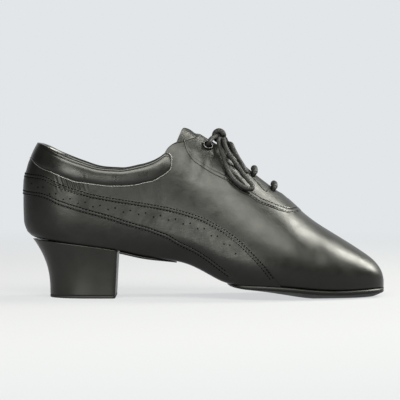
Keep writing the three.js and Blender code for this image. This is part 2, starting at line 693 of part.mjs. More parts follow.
function withHoles(solid) {
  let open = solid;
  for (const side of [-1, 1]) {
    for (const row of LACE_ROWS) open = open.subtract(holeCutter(side, row, LACE_HOLE));
    open = open.subtract(holeCutter(side, EYELET_ROW, EYELET_BORE + 2 * EYELET_BARREL + 2 * GAP));
  }
  return open;
}

function eyeletGeometry() {
  const bore = EYELET_BORE / 2;
  const barrel = bore + EYELET_BARREL;
  const rim = EYELET_WIDTH / 2;
  const profile = [
    [bore, -WALL],
    [barrel, -WALL],
    [barrel, 0],
    [rim, 0],
    [rim - 0.3 * EYELET_FLANGE, 0.8 * EYELET_FLANGE],
    [rim - EYELET_FLANGE, EYELET_FLANGE],
    [bore, 0.3 * EYELET_FLANGE],
    [bore, -WALL],
  ];
  return new THREE.LatheGeometry(profile.map(([r, h]) => new THREE.Vector2(r, h)), 16);
}

// A round cord along a smooth curve through the points of its route
const CORD_SIDES = 8;
const CORD_STEP = 2; // of the cord's diameter
function cordGeometry(points, diameter, step) {
  const path = new THREE.CatmullRomCurve3(points, false, "centripetal");
  const shape = new THREE.Shape(
    Array.from({ length: CORD_SIDES }, (_, i) => {
      const a = (2 * Math.PI * i) / CORD_SIDES;
      return new THREE.Vector2((diameter / 2) * Math.cos(a), (diameter / 2) * Math.sin(a));
    }),
  );
  const steps = Math.max(2, Math.round(path.getLength() / step));
  return new THREE.ExtrudeGeometry(shape, { steps, bevelEnabled: false, extrudePath: path });
}

// The knot stands on the throat between the eyelets. The lace runs out of one eyelet, through two turns of
// the knot, and into the other.
const KNOT_ROW = 0.5422;
const KNOT_RISE = 1.4; // over the facing, in thicknesses of the lace
const knotSection = sectionAt(xOf(KNOT_ROW));
const KNOT = point(
  xOf(KNOT_ROW),
  knotSection.middle + knotSection.lean - 1,
  knotSection.ridge + GAP + OVERLAY + KNOT_RISE * LACE,
);
const KNOT_TURN = 3.4;
const KNOT_SPREAD = 2;
function makeKnot() {
  const lead = [-1, 1].map((side) => {
    const { near, normal } = holeSpot(side, EYELET_ROW);
    return [
      near.clone().addScaledVector(normal, -0.5 * WALL),
      near.clone().addScaledVector(normal, 1.05 * LACE),
      point(KNOT.x - 1.5 * LACE, KNOT.y + side * 2.8 * LACE, KNOT.z - 0.55 * LACE),
    ];
  });
  const route = [...lead[0], KNOT, ...lead[1].reverse()];
  let knot = solidFrom(cordGeometry(route, LACE, 1.2 * LACE));
  for (const side of [-1, 1]) {
    const turn = new THREE.TorusGeometry(KNOT_TURN, LACE / 2 + 0.15, 6, 14);
    turn.rotateX(Math.PI / 2).rotateZ(0.12 * side);
    turn.translate(KNOT.x, KNOT.y + side * KNOT_SPREAD, KNOT.z);
    knot = knot.add(solidFrom(turn));
  }
  return knot;
}

// Routes of the free lace: a loop and an end on each side, lying on the facing and over the top bar
const CORD_ROUTES = {
  lace_loop_outer: [
    [107.0, -1.9, 123.3], [106.0, -5.2, 123.0], [105.6, -9.2, 121.6], [106.4, -12.8, 117.3],
    [107.7, -16.2, 113.1], [109.1, -19.0, 109.5], [110.6, -22.2, 104.9], [112.4, -25.4, 99.9],
    [115.2, -28.2, 94.8], [119.6, -29.8, 90.0], [126.0, -30.0, 85.8], [131.0, -28.4, 85.1],
    [131.6, -26.6, 87.9], [129.2, -24.4, 91.7], [126.3, -22.2, 96.0], [123.0, -20.9, 100.9],
    [119.4, -21.0, 106.6], [116.2, -20.9, 111.6], [114.0, -18.6, 115.8], [112.3, -14.6, 119.6],
    [111.2, -9.2, 123.1], [111.0, -6.0, 123.3], [110.9, -3.2, 123.0],
  ],
  lace_end_outer: [
    [110.8, 1.1, 121.2], [113.6, -2.4, 119.6], [115.4, -8.0, 119.1], [117.0, -12.0, 115.6],
    [118.6, -14.4, 112.4], [120.6, -15.0, 108.6], [123.6, -14.8, 103.9], [126.2, -16.6, 99.4],
    [127.4, -17.8, 97.0],
  ],
  lace_loop_inner: [
    [106.8, 7.9, 123.3], [105.8, 11.2, 123.2], [105.6, 14.8, 121.6], [106.4, 17.3, 117.3],
    [107.7, 19.6, 113.1], [109.1, 21.6, 109.5], [110.6, 23.8, 104.9], [111.8, 25.8, 100.4],
    [113.4, 27.4, 96.0], [117.2, 29.2, 91.3], [123.0, 30.2, 87.7], [128.0, 29.8, 86.9],
    [128.8, 28.6, 89.7], [126.4, 26.6, 93.7], [123.4, 25.0, 98.3], [120.4, 24.4, 103.6],
    [117.6, 24.4, 108.2], [115.2, 23.4, 112.9], [113.2, 20.6, 117.6], [111.6, 15.8, 121.8],
    [110.9, 12.0, 123.2], [110.9, 9.1, 123.0],
  ],
  lace_end_inner: [
    [110.8, 4.9, 121.2], [113.6, 8.4, 119.5], [115.4, 14.0, 119.1], [117.0, 18.0, 116.0],
    [118.8, 20.2, 112.6], [120.8, 20.6, 108.6], [123.9, 21.0, 103.8], [126.6, 22.2, 98.8],
    [127.8, 22.8, 96.3],
  ],
};

// A bar of the lace: out of one hole, over the throat and down the other, square to the falling ridge
const RIDGE_NORMAL = point(0.55, 0, 0.83);
const CREST_RISE = 0.8; // of the bar's middle over the ridge, in rides
const SHOULDER_RISE = 1.12; // where it meets the edge of the facing
function barPoints(row) {
  const ride = GAP + LACE / 2;
  const half = [-1, 1].map((side) => {
    const { near, normal } = holeSpot(side, row);
    const section = sectionAt(near.x);
    const ridgeY = section.middle + section.lean;
    const inward = near.clone().lerp(point(near.x, ridgeY, near.z), 0.45);
    const high = section.ridge + (GAP + OVERLAY) / 2;
    inward.z = THREE.MathUtils.lerp(near.z, high, 0.8);
    return [
      near.clone().addScaledVector(normal, -0.5 * WALL),
      near.clone().addScaledVector(normal, 0.6 * ride),
      inward.addScaledVector(RIDGE_NORMAL, SHOULDER_RISE * ride),
    ];
  });
  const section = sectionAt(xOf(row.at));
  const crest = point(xOf(row.at), section.middle + section.lean, section.ridge);
  crest.addScaledVector(RIDGE_NORMAL, CREST_RISE * ride);
  return [...half[0], crest, ...half[1].reverse()];
}

const LEATHER = new THREE.MeshStandardMaterial({ color: 0x1c1c1e, roughness: 0.4, metalness: 0 });
const LINING = new THREE.MeshStandardMaterial({ color: 0x2a2a2c, roughness: 0.8, metalness: 0 });
const SOLE_RUBBER = new THREE.MeshStandardMaterial({ color: 0x141414, roughness: 0.8, metalness: 0 });
const HEEL_COVER = new THREE.MeshStandardMaterial({ color: 0x2b2c29, roughness: 0.6, metalness: 0 });
const DARK_METAL = new THREE.MeshStandardMaterial({ color: 0x3c3c40, roughness: 0.35, metalness: 1 });
const LACE_CORD = new THREE.MeshStandardMaterial({ color: 0x202022, roughness: 0.8, metalness: 0 });

const shoe = new THREE.Group();
function addGeometry(name, geometry, material) {
  const mesh = new THREE.Mesh(geometry, material);
  mesh.name = name;
  shoe.add(mesh);
  return mesh;
}
function addSolid(name, solid, material) {
  const { vertProperties, triVerts } = solid.getMesh();
  const geometry = new THREE.BufferGeometry();
  geometry.setAttribute("position", new THREE.BufferAttribute(vertProperties, 3));
  geometry.setIndex(new THREE.BufferAttribute(triVerts, 1));
  geometry.computeVertexNormals();
  return addGeometry(name, geometry, material);
}

addSolid("upper", withHoles(makeUpper()), LEATHER);
addSolid("facing", withHoles(makeFacing()), LEATHER);
addSolid("wing_band", makeWingBand(), LEATHER);
addSolid("collar", makeCollar(), LEATHER);
addSolid("tongue", makeTongue(), LEATHER);
addSolid("insole", makeInsole(), LINING);
addSolid("forefoot_sole", makeForefootSole(), SOLE_RUBBER);
addSolid("waist_sole", makeWaistSole(), SOLE_RUBBER);
addSolid("heel", makeHeel(), HEEL_COVER);
addSolid("heel_top_piece", makeTopPiece(), SOLE_RUBBER);

for (const [name, side] of [["eyelet_outer", -1], ["eyelet_inner", 1]]) {
  const { near, normal } = holeSpot(side, EYELET_ROW);
  const eyelet = addGeometry(name, eyeletGeometry(), DARK_METAL);
  eyelet.position.copy(near).addScaledVector(normal, GAP);
  eyelet.quaternion.setFromUnitVectors(point(0, 1, 0), normal);
}
LACE_ROWS.forEach((row, i) => {
  addGeometry(`lace_bar_${i + 1}`, cordGeometry(barPoints(row), LACE, 1.2 * LACE), LACE_CORD);
});
addSolid("lace_knot", makeKnot(), LACE_CORD);
for (const [name, route] of Object.entries(CORD_ROUTES)) {
  const points = route.map(([x, y, z]) => point(x, y, z));
  addGeometry(name, cordGeometry(points, LACE, CORD_STEP * LACE), LACE_CORD);
}

export default shoe;
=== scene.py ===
import math

import bmesh
import bpy
from mathutils import Matrix, Vector


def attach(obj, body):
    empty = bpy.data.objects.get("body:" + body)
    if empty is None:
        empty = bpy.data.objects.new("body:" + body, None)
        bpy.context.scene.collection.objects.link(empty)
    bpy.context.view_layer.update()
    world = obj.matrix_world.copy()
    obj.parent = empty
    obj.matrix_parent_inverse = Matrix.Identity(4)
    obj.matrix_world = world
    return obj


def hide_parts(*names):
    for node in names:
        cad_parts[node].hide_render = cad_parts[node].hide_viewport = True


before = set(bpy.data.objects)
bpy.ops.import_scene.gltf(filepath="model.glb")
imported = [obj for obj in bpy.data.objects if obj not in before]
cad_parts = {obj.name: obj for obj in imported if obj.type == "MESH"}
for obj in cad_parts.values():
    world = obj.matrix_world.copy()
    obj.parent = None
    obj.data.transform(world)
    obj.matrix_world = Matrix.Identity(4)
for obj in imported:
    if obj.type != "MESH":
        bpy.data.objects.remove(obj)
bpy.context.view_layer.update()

# Men's Latin dance shoe, right foot. Shapes are worked out in mm, with +X to the toe, +Y to the
# inner side and +Z up, and placed in metres.
MM = 0.001

# Camera: the photograph's frame is 312.8 mm wide at the shoe
FRAME_WIDTH = 0.3128
LENS = 200
SENSOR = 36
ELEVATION = math.radians(2.0)
AIM = Vector((0.0911, 0, 0.0755))
camera_data = bpy.data.cameras.new("photo_camera")
camera_data.lens = LENS
camera_data.sensor_width = SENSOR
camera = bpy.data.objects.new("photo_camera", camera_data)
bpy.context.scene.collection.objects.link(camera)
distance = FRAME_WIDTH * LENS / SENSOR
camera.location = AIM + distance * Vector((0, -math.cos(ELEVATION), math.sin(ELEVATION)))
camera.rotation_euler = (math.pi / 2 - ELEVATION, 0, 0)
bpy.context.scene.camera = camera

# Driving sizes, as in the part's source
LENGTH = 282
BALL_WIDTH = 96
HEEL_WIDTH = 62
INSTEP_HEIGHT = 98
HEEL_LIFT = 39.5
BACK = -46.9
COLLAR_BACK_HEIGHT = 74
GAP = 0.3
OVERLAY = 0.8
SOLE_TOP = 7
SOLE_EDGE = 3.4
SOLE_DEPTH = 7
SOLE_CORNER = 12
WAIST_SOLE = 1.5
HEEL_BASE_LENGTH = 52
HEEL_BASE_WIDTH = 47
HEEL_FLARE = 2.6
HEEL_BREAST_LEAN = 1.7
HEEL_BREAST = HEEL_BASE_LENGTH / 2 - 0.4 + HEEL_BREAST_LEAN
TOP_PIECE = 2
EDGE_STEP = 0.6
THROAT_WIDTH = 15
THROAT_FRONT = 0.715
LACE = 3.5
EYELET_WIDTH = 8.8
EYELET_BORE = 5
TOE = BACK + LENGTH
HEEL_CENTRE = BACK + 0.166 * LENGTH
SEAT_BACK = SOLE_TOP + HEEL_LIFT
PLAN_FULL = 2.2
OUTER, INNER = -1, 1

# Sections of the last: at, lift, height, outer, inner, swing, lean, tuck, widest, full, crown, depth
LAST = [
    (0.0, 1.0, 1.27, 0.323, 0.323, 0, 0, 0.88, 0.2, 2.6, 0, 0),
    (0.166, 0.866, 1.32, 0.323, 0.323, 0, 0, 0.88, 0.2, 2.6, 0, 0),
    (0.266, 0.762, 1.3, 0.328, 0.32, 0, 0, 0.86, 0.2, 2.5, 0.02, 0),
    (0.335, 0.648, 1.235, 0.336, 0.312, 0, 0.005, 0.8, 0.2, 2.35, 0.1, 0),
    (0.4, 0.592, 1.16, 0.352, 0.31, 0, 0.015, 0.76, 0.2, 2.2, 0.14, 0),
    (0.448, 0.531, 1.106, 0.37, 0.315, 0, 0.025, 0.75, 0.2, 2.0, 0.16, 0),
    (0.496, 0.382, 1.08, 0.4, 0.332, 0, 0.035, 0.78, 0.2, 1.9, 0.2, 0.2),
    (0.53, 0.25, 1.074, 0.425, 0.3545, 0, 0.04, 0.815, 0.2, 1.86, 0.24, 0.27),
    (0.565, 0.142, 1.056, 0.45, 0.377, 0, 0.045, 0.85, 0.2, 1.82, 0.28, 0.34),
    (0.589, 0.128, 1.004, 0.4686, 0.3934, 0, 0.0476, 0.8659, 0.2, 1.8094, 0.3012, 0.4884),
    (0.61, 0.118, 0.948, 0.485, 0.408, 0, 0.05, 0.88, 0.2, 1.8, 0.32, 0.62),
    (0.656, 0.112, 0.84, 0.505, 0.437, 0, 0.05, 0.9, 0.2, 1.8, 0.34, 0.8),
    (0.698, 0.094, 0.756, 0.51, 0.46, 0, 0.045, 0.91, 0.2, 1.8, 0.34, 0.95),
    (0.734, 0.076, 0.679, 0.503, 0.474, 0, 0.04, 0.92, 0.21, 1.84, 0.34, 1.07),
    (0.771, 0.046, 0.592, 0.482, 0.474, 0, 0.034, 0.92, 0.22, 1.9, 0.34, 1.16),
    (0.803, 0.021, 0.528, 0.455, 0.46, 0, 0.028, 0.92, 0.24, 1.95, 0.34, 1.14),
    (0.851, 0.0, 0.449, 0.425, 0.43, 0.003, 0.02, 0.92, 0.28, 2.05, 0.32, 1.05),
    (0.9, -0.006, 0.365, 0.355, 0.368, 0.007, 0.012, 0.92, 0.32, 2.1, 0.3, 0.96),
    (0.932, 0.0, 0.304, 0.302, 0.316, 0.01, 0.008, 0.91, 0.36, 2.15, 0.26, 0.99),
    (0.961, 0.006, 0.243, 0.24, 0.25, 0.013, 0.004, 0.9, 0.4, 2.2, 0.2, 0.95),
    (0.982, 0.012, 0.18, 0.174, 0.18, 0.015, 0, 0.89, 0.42, 2.2, 0.12, 0.75),
    (0.994, 0.015, 0.12, 0.105, 0.108, 0.016, 0, 0.88, 0.44, 2.2, 0.05, 0.6),
    (1.0, 0.018, 0.055, 0, 0, 0.016, 0, 0.88, 0.45, 2.2, 0, 0.55),
]
BACK_SEAM = [
    (-0.3, 0.2), (0.0, 0.132), (0.054, 0.056), (0.18, 0.006), (0.39, 0.0), (0.57, 0.006), (0.77, 0.056),
    (0.87, 0.106), (0.96, 0.158), (1.08, 0.234), (1.35, 0.43),
]
TOPLINE = [
    (-0.04, 0.625), (0.046, 0.598), (0.101, 0.545), (0.157, 0.506), (0.212, 0.485), (0.268, 0.502),
    (0.323, 0.572), (0.356, 0.626), (0.378, 0.674), (0.39, 0.705), (0.4, 0.754), (0.412, 0.795),
    (0.423, 0.822), (0.445, 0.862), (0.478, 0.94), (0.497, 1.0), (1.0, 1.0),
]
COLLAR_SEAM = [
    (-0.04, 0.52), (0.023, 0.505), (0.04, 0.471), (0.06, 0.444), (0.083, 0.4275), (0.108, 0.407),
    (0.134, 0.39), (0.155, 0.38), (0.184, 0.38), (0.229, 0.383), (0.273, 0.403), (0.308, 0.436),
    (0.334, 0.472), (0.362, 0.509), (0.384, 0.556), (0.402, 0.604), (0.41, 0.636), (0.413, 0.666),
]
COLLAR_FRONT = [(0.387, 0.699), (0.396, 0.72), (0.404, 0.721), (0.41, 0.696), (0.4135, 0.667)]
WING_TOP = [
    (-0.04, 0.412), (0.045, 0.407), (0.068, 0.399), (0.09, 0.378), (0.112, 0.359), (0.134, 0.3445),
    (0.157, 0.3345), (0.179, 0.3255), (0.201, 0.3204), (0.234, 0.3186), (0.2675, 0.3222),
    (0.29, 0.3295), (0.312, 0.3396), (0.356, 0.3542), (0.4006, 0.3637), (0.445, 0.3726),
    (0.467, 0.3806), (0.489, 0.3921), (0.512, 0.4), (0.534, 0.4013), (0.556, 0.3971), (0.578, 0.3806),
    (0.6, 0.3556), (0.6225, 0.3122), (0.645, 0.2572), (0.667, 0.1873), (0.6835, 0.1225), (0.7, 0.045),
    (0.708, 0),
]
WING_FOOT = [
    (-0.04, 0.272), (0.045, 0.267), (0.068, 0.2565), (0.09, 0.236), (0.112, 0.222), (0.157, 0.2015),
    (0.201, 0.1884), (0.245, 0.1769), (0.29, 0.1678), (0.334, 0.168), (0.356, 0.1626), (0.3785, 0.1524),
    (0.4006, 0.1422), (0.423, 0.1191), (0.445, 0.1055), (0.503, 0.09), (0.567, 0.042), (0.585, 0),
]
FACING_EDGE = [
    (0.4425, 0.9), (0.446, 0.855), (0.4533, 0.803), (0.478, 0.756), (0.517, 0.75), (0.567, 0.759),
    (0.596, 0.745), (0.62, 0.758), (0.65, 0.756), (0.678, 0.775), (0.703, 0.796), (0.73, 0.839),
    (0.753, 0.919), (0.77, 1.0),
]
SLIT = [
    (0.512, 0.975), (0.55, 0.974), (0.575, 0.972), (0.592, 0.965), (0.62, 0.945), (0.641, 0.926),
    (0.667, 0.89),
]
TONGUE_BACK = [(0.4, 0.55), (0.423, 0.8), (0.436, 0.9), (0.447, 0.985), (0.452, 1.05)]
TONGUE_FOOT = [(0.4, 0.55), (0.48, 0.55), (0.6, 0.62), (0.735, 0.72), (0.745, 1.0)]

# Free lace, in mm: a loop and an end on each side
CORD_ROUTES = {
    "lace_loop_outer": [
        (107.0, -1.9, 123.3), (106.0, -5.2, 123.0), (105.6, -9.2, 121.6), (106.4, -12.8, 117.3),
        (107.7, -16.2, 113.1), (109.1, -19.0, 109.5), (110.6, -22.2, 104.9), (112.4, -25.4, 99.9),
        (115.2, -28.2, 94.8), (119.6, -29.8, 90.0), (126.0, -30.0, 85.8), (131.0, -28.4, 85.1),
        (131.2, -26.8, 87.9), (128.2, -24.6, 91.7), (124.8, -22.6, 96.0), (121.2, -21.4, 100.9),
        (117.2, -21.3, 106.4), (113.9, -21.0, 111.4), (111.7, -18.6, 115.6), (110.2, -14.6, 119.2),
        (109.6, -9.2, 122.3), (109.6, -6.0, 122.9), (109.8, -3.2, 122.9),
    ],
    "lace_end_outer": [
        (110.8, 1.1, 121.2), (113.6, -2.4, 119.6), (115.4, -8.0, 119.1), (117.0, -12.0, 115.6),
        (118.6, -14.4, 112.4), (120.6, -15.0, 108.6), (123.6, -14.8, 103.9), (126.2, -16.6, 99.4),
        (127.4, -17.8, 97.0),
    ],
    "lace_loop_inner": [
        (106.8, 7.9, 123.3), (106.4, 11.2, 123.2), (107.6, 14.8, 121.4), (109.6, 17.3, 117.3),
        (111.0, 19.6, 113.1), (112.3, 21.6, 109.5), (113.6, 23.8, 104.9), (114.4, 25.8, 100.4),
        (115.4, 27.4, 96.0), (118.0, 29.2, 91.3), (123.0, 30.2, 87.7), (128.0, 29.8, 86.9),
        (128.8, 28.6, 89.7), (126.4, 26.6, 93.7), (123.4, 25.0, 98.3), (120.4, 24.4, 103.6),
        (117.6, 24.4, 108.2), (115.2, 23.4, 112.9), (113.2, 20.6, 117.6), (111.6, 15.8, 121.8),
        (110.9, 12.0, 123.2), (110.9, 9.1, 123.0),
    ],
    "lace_end_inner": [
        (110.8, 4.9, 121.2), (113.6, 8.4, 119.5), (115.4, 14.0, 119.1), (117.0, 18.0, 116.0),
        (118.8, 20.2, 112.6), (120.8, 20.6, 108.6), (123.9, 21.0, 103.8), (126.6, 22.2, 98.8),
        (127.8, 22.8, 96.3),
    ],
}


def clamp(value, low=0.0, high=1.0):
    return max(low, min(high, value))


def mix(a, b, share):
    return a + (b - a) * share


def ease(value, low, high):
    t = clamp((value - low) / (high - low))
    return t * t * (3 - 2 * t)


def curve_of(rows, column=1):
    """Smooth interpolation of a table's column that doesn't overshoot"""
    xs = [row[0] for row in rows]
    ys = [row[column] for row in rows]
    slopes = [(ys[i + 1] - ys[i]) / (xs[i + 1] - xs[i]) for i in range(len(xs) - 1)]
    tangents = [slopes[0]]
    for before, after in zip(slopes, slopes[1:]):
        tangents.append(0 if before * after <= 0 else 2 * before * after / (before + after))
    tangents.append(slopes[-1])

    def value(x):
        x = clamp(x, xs[0], xs[-1])
        i = 0
        while i < len(xs) - 2 and x >= xs[i + 1]:
            i += 1
        span = xs[i + 1] - xs[i]
        t = (x - xs[i]) / span
        near = (1 + 2 * t) * (1 - t) ** 2 * ys[i] + t * (1 - t) ** 2 * span * tangents[i]
        return near + t * t * (3 - 2 * t) * ys[i + 1] - t * t * (1 - t) * span * tangents[i + 1]

    return value


STEPS = 400
EVENING_PASSES = 90
TOE_PART = (0.925, 0.97)


def smooth_column(column):
    """A column of the last, evened out for unbroken reflections, except at the toe"""
    plain = curve_of(LAST, column)
    kept = [plain(i / STEPS) for i in range(STEPS + 1)]
    even = list(kept)
    for _ in range(EVENING_PASSES):
        even = [even[0]] + [(a + 2 * b + c) / 4 for a, b, c in zip(even, even[1:], even[2:])] + [even[-1]]
    table = [mix(b, a, ease(i / STEPS, *TOE_PART)) for i, (a, b) in enumerate(zip(kept, even))]

    def value(at):
        place = clamp(at) * STEPS
        i = min(int(place), STEPS - 1)
        if at > TOE_PART[1]:
            return plain(at)
        return mix(table[i], table[i + 1], place - i)

    return value


COLUMNS = "lift height outer inner swing lean tuck widest full crown depth".split()
last = {name: smooth_column(i + 1) for i, name in enumerate(COLUMNS)}
back_seam = curve_of(BACK_SEAM)
section_store = {}


class Section:
    """The last's section at x"""

    def __init__(self, x):
        at = (x - BACK) / LENGTH
        self.at = at
        breadth = mix(BALL_WIDTH, HEEL_WIDTH / 0.646, 1 - ease(at, 0.2, 0.45))
        self.feather = SOLE_TOP + HEEL_LIFT * last["lift"](at)
        self.height = INSTEP_HEIGHT * last["height"](at)
        self.ridge = self.feather + self.height
        self.widest = self.feather + last["widest"](at) * self.height
        self.half = {OUTER: last["outer"](at) * breadth, INNER: last["inner"](at) * breadth}
        self.middle = last["swing"](at) * BALL_WIDTH
        self.lean = last["lean"](at) * BALL_WIDTH
        self.tuck = last["tuck"](at)
        self.full = last["full"](at)
        self.crown = last["crown"](at) * SOLE_TOP
        self.depth = last["depth"](at) * SOLE_DEPTH

    def flank(self, z):
        if z < self.widest:
            down = min(1, (self.widest - z) / (self.widest - self.feather))
            return 1 - (1 - self.tuck) * down * down
        up = min(1, (z - self.widest) / (self.ridge - self.widest))
        return max(0, 1 - up**self.full) ** (1 / self.full)

    def leaned(self, z):
        up = clamp((z - self.widest) / (self.ridge - self.widest))
        return self.middle + self.lean * up * up

    def under(self, v):
        return self.feather - self.crown * (1 - v * v)


def section_at(x):
    key = round(x, 3)
    if key not in section_store:
        section_store[key] = Section(x)
    return section_store[key]


def x_of(at):
    return BACK + at * LENGTH


# A place along the shoe is u: its x from the heel's widest part on, and the way round behind that
WAY_ROUND = 42
ROUND = WAY_ROUND / (math.pi / 2)
U_BACK = HEEL_CENTRE - WAY_ROUND


def turn_of(u):
    return math.pi / 2 - (HEEL_CENTRE - u) / ROUND


def skin(side, u, z):
    """A point of the upper's outer face"""
    if u < U_BACK:
        return skin(-side, 2 * U_BACK - u, z)
    if u >= HEEL_CENTRE:
        section = section_at(u)
        return Vector((u, section.leaned(z) + side * section.half[side] * section.flank(z), z))
    turn = max(0, turn_of(u))
    along = max(0, math.cos(turn)) ** (2 / PLAN_FULL)
    across = math.sin(turn) ** (2 / PLAN_FULL)
    section = section_at(HEEL_CENTRE - (HEEL_CENTRE - BACK) * along)
    back = BACK + HEEL_WIDTH * back_seam((z - SEAT_BACK) / COLLAR_BACK_HEIGHT)
    x = HEEL_CENTRE - (HEEL_CENTRE - back) * along
    return Vector((x, side * section.half[side] * section.flank(z) * across, z))


def nominal(u):
    if u >= HEEL_CENTRE:
        return u
    return HEEL_CENTRE - (HEEL_CENTRE - BACK) * max(0, math.cos(max(0, turn_of(u)))) ** (2 / PLAN_FULL)


def height_on(x, up):
    section = section_at(x)
    return section.feather + up * section.height


def crossing(line, side, u, lowest=0.0):
    """The height at which a line of the side view, given over x, crosses the shoe at u"""
    z = SEAT_BACK + COLLAR_BACK_HEIGHT / 2
    for _ in range(8):
        x = skin(side, u, z).x
        section = section_at(x)
        z = section.feather + max(line((x - BACK) / LENGTH) * section.height, lowest)
        if u >= HEEL_CENTRE:
            break
    return z


def normal_at(side, u, z):
    step = 0.4
    along = skin(side, u + step, z) - skin(side, u - step, z)
    rise = skin(side, u, z + step) - skin(side, u, z - step)
    normal = along.cross(rise).normalized()
    if side == INNER:
        normal.negate()
    return normal


def laid(side, u, z, out=0.0):
    return skin(side, u, z) + normal_at(side, u, z) * out


# Meshes: grids whose points are placed one by one
FINE_WELD = 1e-6
SKIN_WELD = 2e-5


def sheets(name, parts, weld=FINE_WELD, uv=None):
    """A piece from grids; place(i, j) gives a point in mm for column i and row j"""
    mesh_maker = bmesh.new()
    layer = mesh_maker.loops.layers.uv.new("UVMap") if uv else None
    for columns, rows, place, flip in parts:
        made = bmesh.ops.create_grid(mesh_maker, x_segments=columns, y_segments=rows, size=0.5)
        index = {}
        for vert in made["verts"]:
            i = round((vert.co.x + 0.5) * columns)
            j = round((vert.co.y + 0.5) * rows)
            index[vert] = (i, j)
        for vert, (i, j) in index.items():
            vert.co = Vector(place(i, j)) * MM
        faces = list({face for vert in made["verts"] for face in vert.link_faces})
        if uv:
            for face in faces:
                for loop in face.loops:
                    loop[layer].uv = uv(*index[loop.vert])
        if flip:
            bmesh.ops.reverse_faces(mesh_maker, faces=faces)
    bmesh.ops.remove_doubles(mesh_maker, verts=mesh_maker.verts, dist=weld)
    bmesh.ops.dissolve_degenerate(mesh_maker, edges=mesh_maker.edges, dist=1e-7)
    return piece_of(name, mesh_maker)


def both_sides(name, places, rows, place):
    """A piece from one grid on each side of the shoe; place(side, i, j) gives its points"""
    columns = len(places) - 1
    outer = (columns, rows, lambda i, j: place(OUTER, i, j), False)
    inner = (columns, rows, lambda i, j: place(INNER, i, j), True)
    return sheets(name, [outer, inner], weld=SKIN_WELD)


def piece_of(name, mesh_maker, smooth=True):
    mesh = bpy.data.meshes.new(name)
    mesh_maker.to_mesh(mesh)
    mesh_maker.free()
    for face in mesh.polygons:
        face.use_smooth = smooth
    piece = bpy.data.objects.new(name, mesh)
    bpy.context.scene.collection.objects.link(piece)
    return piece


def turned_outward(piece, fill=False):
    """Faces turned outward, and open ends closed where fill says so"""
    mesh_maker = bmesh.new()
    mesh_maker.from_mesh(piece.data)
    if fill:
        bmesh.ops.holes_fill(mesh_maker, edges=mesh_maker.edges)
    bmesh.ops.recalc_face_normals(mesh_maker, faces=mesh_maker.faces)
    mesh_maker.to_mesh(piece.data)
    mesh_maker.free()
    return piece


def swell(piece, out_of):
    """Move each point out along its normal; out_of gives the distance in mm for the point in mm"""
    moves = []
    for vert in piece.data.vertices:
        moves.append(vert.normal.copy() * out_of(vert.co / MM) * MM)
    for vert, move in zip(piece.data.vertices, moves):
        vert.co += move
    piece.data.update()


def thicken(piece, wall, second=None):
    """A wall inwards, its inner face in the piece's second material"""
    solid = piece.modifiers.new("wall", "SOLIDIFY")
    solid.thickness = wall * MM
    solid.offset = -1
    solid.use_even_offset = False
    solid.use_rim = True
    if second is not None:
        solid.material_offset = second


# Materials
class Value:
    """An output socket, with arithmetic on it"""

    def __init__(self, finish, socket):
        self.finish = finish
        self.socket = socket

    def step(self, operation, first, second):
        return self.finish.node("ShaderNodeMath", {"operation": operation}, {0: first, 1: second})

    def __add__(self, other):
        return self.step("ADD", self, other)

    def __radd__(self, other):
        return self.step("ADD", other, self)

    def __sub__(self, other):
        return self.step("SUBTRACT", self, other)

    def __rsub__(self, other):
        return self.step("SUBTRACT", other, self)

    def __mul__(self, other):
        return self.step("MULTIPLY", self, other)

    def __rmul__(self, other):
        return self.step("MULTIPLY", other, self)


class Finish:
    """A material and its nodes"""

    def __init__(self, name, settings):
        self.material = bpy.data.materials.new(name)
        self.material.use_nodes = True
        self.tree = self.material.node_tree
        self.shader = self.tree.nodes["Principled BSDF"]
        for key, value in settings.items():
            self.shader.inputs[key].default_value = value

    def node(self, kind, settings, values, output=0):
        made = self.tree.nodes.new(kind)
        for key, value in settings.items():
            if key == "stops":
                ramp = made.color_ramp
                while len(ramp.elements) < len(value):
                    ramp.elements.new(0.5)
                for element, (place, colour) in zip(ramp.elements, value):
                    element.position = place
                    element.color = colour
            else:
                setattr(made, key, value)
        for key, value in values.items():
            if isinstance(value, Value):
                self.tree.links.new(value.socket, made.inputs[key])
            else:
                made.inputs[key].default_value = value
        return Value(self, made.outputs[output])

    def coords(self, output="Object"):
        return self.node("ShaderNodeTexCoord", {}, {}, output)

    def noise(self, where, scale, detail):
        return self.node("ShaderNodeTexNoise", {}, {"Vector": where, "Scale": scale, "Detail": detail})

    def cells(self, where, scale):
        values = {"Vector": where, "Scale": scale}
        return self.node("ShaderNodeTexVoronoi", {"feature": "SMOOTH_F1"}, values)

    def sine(self, value):
        return self.node("ShaderNodeMath", {"operation": "SINE"}, {0: value})

    def split(self, where):
        parts = self.tree.nodes.new("ShaderNodeSeparateXYZ")
        self.tree.links.new(where.socket, parts.inputs[0])
        return [Value(self, socket) for socket in parts.outputs]

    def between(self, value, low, high, to_low, to_high):
        return self.node("ShaderNodeMapRange", {}, {0: value, 1: low, 2: high, 3: to_low, 4: to_high})

    def colours(self, value, first, second):
        stops = [(0.0, (*first, 1)), (1.0, (*second, 1))]
        return self.node("ShaderNodeValToRGB", {"stops": stops}, {0: value})

    def relief(self, height, depth, under=None):
        """A bump of that depth in mm"""
        values = {"Height": height, "Strength": 1.0, "Distance": depth * MM}
        if under is not None:
            values["Normal"] = under
        return self.node("ShaderNodeBump", {}, values)

    def feed(self, key, value):
        self.tree.links.new(value.socket, self.shader.inputs[key])


GATHER_PITCH = 0.0034


def gathers(finish, ahead, up):
    """Short folds of the quarter under the collar's seam, a wave on a window of the side view"""
    wave = finish.sine((ahead + up * 0.35) * (math.tau / GATHER_PITCH))
    window = finish.between(ahead, -0.022, -0.012, 0, 1) * finish.between(ahead, -0.001, 0.007, 1, 0)
    window = window * finish.between(up, 0.082, 0.087, 0, 1)
    return wave * window * finish.between(up + ahead * 0.4, 0.088, 0.094, 1, 0)


